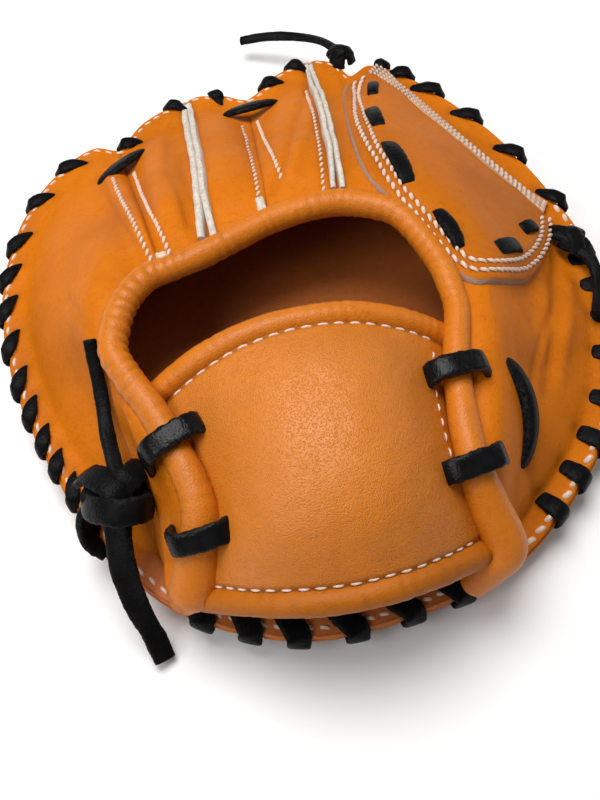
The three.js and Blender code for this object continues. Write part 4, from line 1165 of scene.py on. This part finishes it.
def roll_path():
    """Rolled edge as places along the opening, points and radii."""
    places = np.array([ROLL_FIRST, -0.2, *np.linspace(0, LAST, 35), 17.1, ROLL_LAST])
    before, beyond = np.clip(places / ROLL_FIRST, 0, 1), np.clip((places - LAST) / (ROLL_LAST - LAST), 0, 1)
    little, thumb = 1 - smooth(places / 0.9), smooth((places - 16) / 0.9)
    points = edge(places) + np.outer(little, ROLL_DRAWN[0]) + np.outer(thumb, ROLL_DRAWN[1])
    points = points + (np.array(ROLL_LITTLE_END) - points) * before[:, None]
    points = points + (np.array(ROLL_THUMB_END) - points) * beyond[:, None]
    radii = np.interp(places, *zip(*ROLL_SIZES))
    rows = curve(np.column_stack([points, radii, places]))(np.linspace(0, len(places) - 1, 1500))
    return even(rows, 0.75)[0]


def build_roll():
    """Rolled edge round the opening, gathered at the arch."""
    rows = roll_path()
    path, radii, place = rows[:, :3], rows[:, 3], rows[:, 4]
    skin = Skin()
    tube(skin, path, radii, 30, np.interp(place, *zip(*ROLL_GATHERS)))
    skin.make("opening_edge_roll", "binding", ("opening_binding",))


def strap_shares(across, distance, top):
    """Share down the strap that lies a distance from its top or bottom edge."""
    down = np.linspace(0, 0.3, 80) if top else np.linspace(1, 0.7, 80)
    found = []
    for a in across:
        line = strap(np.full(80, a), down)
        found.append(np.interp(distance, np.linalg.norm(line - line[0], axis=1), down))
    return np.array(found)


def strap_relief(p, across, down):
    """Gentle unevenness of the strap and the groove under each row of stitches."""
    groove = np.zeros(p.shape[:-1])
    for place in (0.0, 1.0):
        centre = strap(across, np.full_like(down, place))
        gap = np.linalg.norm(p - centre, axis=-1)
        groove += np.exp(-(((gap - 4.6) / 1.1) ** 2))
    return 0.4 * ripple(p, 38, 51) + 0.1 * ripple(p, 10, 52) - 0.7 * groove, groove


def on_strap(across, down):
    """Points, outward directions and grooves of the finished strap."""
    p, n = strap(across, down), strap_normal(across, down)
    height, groove = strap_relief(p, across, down)
    return p + n * (STRAP_WALL / 2 + height)[..., None], n, groove


def build_strap():
    """Wrist strap with its rolled top and bottom edges."""
    across, down = np.meshgrid(np.linspace(0.015, 0.985, 150), np.linspace(0.01, 0.99, 120), indexing="ij")
    outer, n, groove = on_strap(across, down)
    inner = strap(across, down) - n * (STRAP_WALL / 2)
    skin = Skin()
    # Painted shade in the grooves under the stitch rows and over the whole inner face.
    painted_shade = np.concatenate([groove * 0.7, np.full(groove.shape, 0.6)], axis=1)
    skin.grid(np.concatenate([outer, inner[:, ::-1]], axis=1), around=True, caps="slab", painted_shade=painted_shade)
    skin.make("wrist_strap_leather", "strap", ("wrist_strap",))
    # The bottom roll takes the darkened binding, which is painted shade.
    for name, place, look in (("strap_binding_top", 0.0, "binding"), ("strap_binding_bottom", 1.0, "wear_and_painted_shade")):
        path = even(strap(np.linspace(0, 1, 170), np.full(170, place)), 0.8)[0]
        skin = Skin()
        radii = STRAP_ROLL_RADIUS * (1 + 0.02 * ripple(path, 18, 60))
        tube(skin, path, radii, 24, np.full(len(path), 0.1))
        skin.make(name + "_roll", look, (name,))


def build_loops():
    """Flat lace loops that hold the strap to the rolled edge."""
    for name, at, inside, lean in STRAP_LOOPS:
        centre = edge(at)
        along = unit(edge(at + 0.1) - edge(at - 0.1))
        side = unit(np.cross(along, UP))
        up = np.cross(side, along)
        side = -side if side[0] * inside < 0 else side
        c, s = math.cos(lean), math.sin(lean)
        along, side = along * c - side * s, side * c + along * s
        path = through([centre + side * x + up * z for x, z in LOOP_PATH], 0.6, closed=True)[:-1]
        skin = Skin()
        across = np.tile(along, (len(path), 1))
        strip(skin, path, across, 7.4, 2.6, closed=True, square=4.5, sides=24, fray=0.04, seed=70)
        skin.make(name + "_lace", "glossy", (name,))


def whipstitch(skin, setback, width, slant, off, inner, holes, seed):
    """Lace up through each hole, slanting over the rim and back under to the next hole."""
    stops = []
    for i, hole in enumerate(holes):
        lean = slant_at(holes, i, slant)
        point, along, out = rim_frame(hole)
        half, _, half_out = rim_frame(hole + lean * 0.6)
        over, over_along, over_out = rim_frame(hole + lean)
        run = unit((over + over_out - point + out * setback) * (1, 1, 0))
        side = np.cross(run, UP)
        side = side if side.dot(along) > 0 else -side
        # where from, which way outward and how far, height, direction across, share of the width, wall
        for base, way, outward, height, across, share, wall in (
            (point - run * 0.9, out, -setback, -3.6, side, 0.8 * inner, 1.5),
            (point - run * 0.4, out, -setback, 1.2, side, 0.9 * inner, 1.4),
            (point, out, -setback, 2.4, side, inner, 1.5),
            (point + run * 2.4, out, -setback, 3.2, side, (1.3 + inner) / 2.3, 1.8),
            (half, half_out, -0.42 * setback + 0.4 * off, 3.9 + 0.5 * off, side, 1.0, 2.1),
            (over, over_out, -0.3 + off, 3.7 + 0.3 * off, side, 1.0, 2.0),
            (over, over_out, 1.5 + off, 0.6, over_along, 0.94, 1.9),
            (over, over_out, 0.6 + off, -3.0, over_along, 0.94, 1.9),
            (over, over_out, -2.5, -4.1, over_along, 0.94, 1.9),
        ):
            stops.append([*(base + way * outward + UP * height), *across, share * width, wall])
    table = np.array(stops)
    for k in range(1, len(table)):
        if table[k, 3:6].dot(table[k - 1, 3:6]) < 0:
            table[k, 3:6] *= -1
    fine = curve(table)(np.linspace(0, len(table) - 1, (len(table) - 1) * 5 + 1))
    strip(skin, fine[:, :3], fine[:, 3:6], fine[:, 6], fine[:, 7], square=3.0, sides=14, fray=0.02, seed=seed)


def build_rim_laces():
    """Black whipstitch lacing round the rim."""
    for i, (name, *sizes) in enumerate(RIM_LACES):
        skin = Skin()
        whipstitch(skin, *sizes, 80 + i)
        skin.make(name + "_lacing", "lace", (name,))


def bar(skin, width, wall, blunt, pairs, base, seed):
    """One short stitch of lace lying on the leather, with its ends drawn down into it."""
    line = back_line(pairs, 0.45)
    p, n = on_back(line[:, 0], line[:, 1])
    share = np.linspace(0, 1, len(p))
    arch = np.sin(math.pi * share)
    normal = unit(n.mean(0))
    chord = p[0] + (p[-1] - p[0]) * share[:, None]
    bow = (share * (1 - share))[:, None]
    bend = np.linalg.lstsq(bow, p - chord, rcond=None)[0]
    sag = min(float(bend[0] @ normal), 0.0)
    path = chord + bow * (bend - normal * sag)
    path = path + normal * (base + wall * (0.62 * arch**0.45 - 0.42))[:, None]
    across = np.cross(travel(path), np.tile(normal, (len(path), 1)))
    wide = width * (blunt + (1 - blunt) * arch**0.6)
    strip(skin, path, across, wide, wall * (0.5 + 0.5 * arch**0.3), square=2.8, fray=0.03, seed=seed)


def bars(rows, base, seed):
    """Single lace stitches of a table, on leather that stands base over the back."""
    for i, (name, *sizes) in enumerate(rows):
        skin = Skin()
        bar(skin, *sizes, base, seed + i)
        skin.make(name + "_lace", "lace", (name,))


def build_bars():
    """Single lace stitches on the back."""
    bars(BARS, 0.5, 90)


def patch_point(angle_place, share):
    """Section and share of the web patch at a place round its outline and a share from its centre."""
    outline = curve([(u, t * 8, 0) for u, t in PATCH_OUTLINE], closed=True)(angle_place)
    u = PATCH_CENTRE[0] + (outline[..., 0] - PATCH_CENTRE[0]) * share
    t = PATCH_CENTRE[1] + (outline[..., 1] / 8 - PATCH_CENTRE[1]) * share
    return u, t


def build_web():
    """Web patch with its raw edge, its laces and the stitched band along its outer side."""
    place = np.linspace(0, len(PATCH_OUTLINE), 361)[:-1]
    share = np.concatenate([np.linspace(0.02, 0.94, 46), [0.955, 0.97, 0.982, 0.991, 0.997]])
    u, t = patch_point(place[:, None], share[None])
    p, n = back(u, t), back_normal(u, t)
    groove = np.zeros(u.shape)
    for pairs in PATCH_ROWS:
        line = back(*back_line(pairs, 1.4).T)
        flat = p.reshape(-1, 3)
        gap = np.sqrt(np.min([((flat - q) ** 2).sum(-1) for q in line], axis=0)).reshape(u.shape)
        groove = np.maximum(groove, np.exp(-((gap / 1.0) ** 2)))
    outer_gap = np.linalg.norm(p - p[:, -1:], axis=-1)
    round_off = 0.7 * np.exp(-outer_gap / 0.7)
    height = PATCH_TOP + 0.3 * ripple(p, 26, 61) + 0.1 * ripple(p, 9, 62) - 0.5 * groove - round_off
    top = p + n * height[..., None]
    under = p[:, -1] - n[:, -1] * 0.6
    wall = np.linspace(0.12, 1, 6)[None, :, None]
    side = top[:, -1:] * (1 - wall) + under[:, None] * wall
    way = unit(p[:, -1] - p[:, -2])[:, None]
    side = side + way * (1.3 * wall + 0.35 * np.sin(wall * math.pi) + 0.16 * ripple(side, 3, 63)[..., None])
    skin = Skin()
    rings = np.concatenate([top, side], axis=1)
    raw = np.concatenate([np.zeros(len(share) - 2), [0.35, 0.7], np.ones(6)])
    # Painted shade in the thread grooves and down the raw side wall towards its foot.
    painted_shade = np.concatenate([groove * 0.4, np.tile([0, 0, 0, 0.1, 0.4, 0.9], (len(place), 1))], axis=1)
    skin.grid(rings, along=True, painted_shade=painted_shade, raw=raw[None])
    start = np.arange(len(place)) * rings.shape[1]
    skin.faces.extend([start.tolist(), (start + rings.shape[1] - 1).tolist()])
    skin.make("web_patch_leather", "patch", ("web_patch",))
    bars(WEB_BARS, PATCH_TOP + 0.35, 100)


def fin(skin, pairs, offset, lean, low, high, wall, seed):
    """Thin ply of leather standing on the back along a line, with a rough top edge."""
    line = back_line(pairs, 0.7)
    p, n = on_back(line[:, 0], line[:, 1])
    across = unit(np.cross(travel(p), n))
    share = np.linspace(0, 1, len(p))
    rough = 1 + 0.07 * ripple(p, 7, seed) + 0.05 * ripple(p, 2.2, seed + 1)
    height = high * (0.62 + 0.38 * smooth(share / 0.12)) * rough - low
    tilt = unit(n + across * lean)
    spread = (1 + 0.5 * smooth((share - 0.8) / 0.2)) * (0.7 + 0.3 * smooth(share / 0.15))
    shift = offset * spread + 0.1 * ripple(p, 11, seed + 2)
    foot = p + across * shift[:, None] + n * low
    ply = np.array(PLY_SECTION)
    rings = np.stack([foot + across * wall * a + tilt * (height * b)[:, None] for a, b, _, _ in ply], axis=1)
    # Painted shade from the ply's section, darkest at its foot.
    skin.grid(rings, around=True, caps="face", painted_shade=ply[None, :, 2], raw=ply[None, :, 3])


def build_welts():
    """Off-white welts between the finger stalls, and the fuzzy band outside the web."""
    for name, at, spread, wall in WELTS:
        pairs = [(at + past, share) for past, share in WELT_LINE]
        skin = Skin()
        for side in (-1, 1):
            fin(skin, pairs, side * spread, side * 0.1, -0.8, 3.1, wall, 115 + side * 5)
        skin.make(name + "_leather", "pale", (name,))
    skin = Skin()
    fin(skin, WEB_EDGE, 0.0, 0.0, -0.6, WEB_EDGE_TOP, WEB_EDGE_WIDTH, 130)
    skin.make("web_edge_leather", "band", ("web_edge_welt",))
    skin = Skin()
    for i, (pairs, lean, high) in enumerate(SLOT_TAG):
        fin(skin, pairs, 0.0, lean, -0.8, high, 1.8, 140 + i)
    skin.make("slot_tag", "pale")


def build_thread():
    """Rows of thread on the back, the web, the strap and round the rim."""
    skin = Skin()
    for lift, rows in ((0.1, BACK_ROWS), (0.3, SLOT_ROWS)):
        for *sizes, pairs in rows:
            stitches(skin, *on_back(*back_line(pairs, 0.5).T, lift), *sizes)
    skin.make("finger_thread", "thread")

    skin = Skin()
    for pairs in PATCH_ROWS:
        line = back_line(pairs, 0.5)
        p, n = back(*line.T), back_normal(*line.T)
        stitches(skin, p + n * (PATCH_TOP - 0.15), n, 3.7, 3.9, 1.45, 0.4, seed=6)
    skin.make("web_thread", "thread")

    skin = Skin()
    line = back_line(WEB_EDGE, 0.6)
    p, n = back(*line.T), back_normal(*line.T)
    side = unit(np.cross(travel(p), n))
    for offset in WEB_EDGE_ROWS:
        lift = WEB_EDGE_TOP - 0.05 - 0.02 * offset * offset
        stitches(skin, p + side * offset + n * lift, n, 2.3, 2.4, 1.0, 0.4, seed=7)
    skin.make("web_edge_thread", "rubbed")

    skin = Skin()
    for top in (True, False):
        a = np.linspace(0.06, 0.94, 90)
        p, n, _ = on_strap(a, strap_shares(a, 4.95, top))
        stitches(skin, p, n, 4.9, 3.9, 0.85, 0.05, sink=0.12, seed=8)
    down = np.linspace(0.12, 0.62, 60)
    p, n, _ = on_strap(0.945 - 0.012 * np.sin(down * 5), down)
    stitches(skin, p, n, 4.8, 3.2, 0.75, 0.05, sink=0.12, seed=9)
    skin.make("strap_thread", "thread")

    skin = Skin()
    for start, end, pitch, length, width, inset in RIM_ROWS:
        u = np.linspace(start, end, 700)
        point, _, out = rim_frame(u)
        drawn = pull(u)[:, None]
        for height, normal in ((RIM_TOP, UP), (-RIM_TOP, -UP)):
            line = point - out * (inset + drawn) + UP * height
            stitches(skin, line, np.tile(normal, (700, 1)), pitch, length, width, 0.25, seed=10)
    skin.make("rim_thread", "thread")


def aimed(name, data, place, target):
    """An object of the stage at a place, turned to a target."""
    made = bpy.data.objects.new(name, data)
    made.location = place
    made.rotation_mode = "QUATERNION"
    made.rotation_quaternion = (Vector(target) - Vector(place)).to_track_quat("-Z", "Y")
    bpy.context.scene.collection.objects.link(made)
    return made


def build_stage():
    """Camera at the photograph's angle, a pale floor and soft studio light."""
    setup = bpy.context.scene.glove_stage
    camera = bpy.data.cameras.new("camera")
    camera.lens = setup.lens
    camera.sensor_width = 36
    camera.clip_start = 0.01
    bpy.context.scene.camera = aimed("camera", camera, CAMERA_EYE, CAMERA_TARGET)

    for name, place, size, share, colour in LIGHTS:
        light = bpy.data.lights.new(name, "AREA")
        light.shape = "DISK"
        light.size = size
        light.energy = setup.light * share
        light.color = colour
        aimed(name, light, place, LIGHT_TARGET)

    world = bpy.data.worlds.new("studio")
    world.use_nodes = True
    sky = world.node_tree.nodes["Background"]
    sky.inputs["Color"].default_value = (1, 1, 1, 1)
    sky.inputs["Strength"].default_value = setup.fill
    bpy.context.scene.world = world
    bpy.context.scene.view_settings.view_transform = "Standard"

    mesh = bpy.data.meshes.new("floor")
    shape = bmesh.new()
    bmesh.ops.create_grid(shape, x_segments=12, y_segments=12, size=4)
    shape.to_mesh(mesh)
    shape.free()
    floor = bpy.data.objects.new("floor", mesh)
    mesh.materials.append(floor_finish((*bpy.context.scene.glove_colours.floor, 1)))
    bpy.context.scene.collection.objects.link(floor)


# ---------------------------------------------------------------- add-on


def colour_property(name, description, default):
    return FloatVectorProperty(
        name=name, description=description, default=default, subtype="COLOR", size=3, min=0, max=1
    )


class GloveColours(bpy.types.PropertyGroup):
    """Colours of the glove's leathers and thread."""

    leather: colour_property("Leather", "Tan leather of the panels", (0.60, 0.155, 0.004))
    strap: colour_property("Strap", "Tan leather of the wrist strap", (0.60, 0.172, 0.008))
    binding: colour_property("Binding", "Leather of the rolled edges", (0.60, 0.165, 0.007))
    lining: colour_property("Lining", "Leather inside the hand opening", (0.53, 0.148, 0.03))
    lace: colour_property("Lace", "Black lace leather", (0.0035, 0.0035, 0.004))
    pale: colour_property("Welt", "Off-white leather of the welts", (0.66, 0.61, 0.54))
    thread: colour_property("Thread", "Waxed thread", (0.78, 0.60, 0.49))
    raw_edge: colour_property("Raw edge", "Cut edges of the leather", (0.42, 0.26, 0.18))
    floor: colour_property("Floor", "Studio floor", (0.93, 0.93, 0.93))


class GloveStage(bpy.types.PropertyGroup):
    """Camera and lights of the studio."""

    lens: FloatProperty(name="Lens", description="Focal length", default=43.43, min=10, unit="CAMERA")
    light: FloatProperty(name="Light", description="Watts of the overhead light", default=9.2, min=0)
    fill: FloatProperty(name="Fill", description="Strength of the light from all round", default=0.17, min=0)


def operator(idname, label, build):
    """One button that builds a group of like pieces, described by the building function's text."""

    def execute(self, context):
        build()
        return {"FINISHED"}

    name = "GLOVE_OT_" + idname
    return type(name, (bpy.types.Operator,), {
        "bl_idname": "glove." + idname,
        "bl_label": label,
        "__doc__": build.__doc__,
        "execute": execute,
    })


OPERATORS = [
    operator("stage", "Stage", build_stage),
    operator("tails", "Lace tails", build_tails),
    operator("palm", "Palm", build_palm),
    operator("lining", "Lining", build_lining),
    operator("back", "Back", build_back),
    operator("roll", "Rolled edge", build_roll),
    operator("strap", "Wrist strap", build_strap),
    operator("loops", "Strap loops", build_loops),
    operator("web", "Web", build_web),
    operator("welts", "Welts", build_welts),
    operator("laces", "Rim lacing", build_rim_laces),
    operator("bars", "Lace bars", build_bars),
    operator("knots", "Knots", build_knots),
    operator("thread", "Thread", build_thread),
]


class GLOVE_PT_panel(bpy.types.Panel):
    """Sizes, colours and pieces of the glove."""

    bl_label = "Infield Training Glove"
    bl_space_type = "VIEW_3D"
    bl_region_type = "UI"
    bl_category = "Glove"

    def draw(self, context):
        layout = self.layout
        for group in (context.scene.glove_colours, context.scene.glove_stage):
            for key in group.__annotations__:
                layout.prop(group, key)
        for made in OPERATORS:
            layout.operator(made.bl_idname)


CLASSES = [GloveColours, GloveStage, *OPERATORS, GLOVE_PT_panel]


def register():
    for made in CLASSES:
        bpy.utils.register_class(made)
    bpy.types.Scene.glove_colours = PointerProperty(type=GloveColours)
    bpy.types.Scene.glove_stage = PointerProperty(type=GloveStage)


def unregister():
    del bpy.types.Scene.glove_stage
    del bpy.types.Scene.glove_colours
    for made in reversed(CLASSES):
        bpy.utils.unregister_class(made)


def main():
    """Builds every piece in order and notes the size."""
    register()
    for made in OPERATORS:
        getattr(bpy.ops.glove, made.bl_idname.split(".")[1])()


if __name__ == "__main__":
    main()
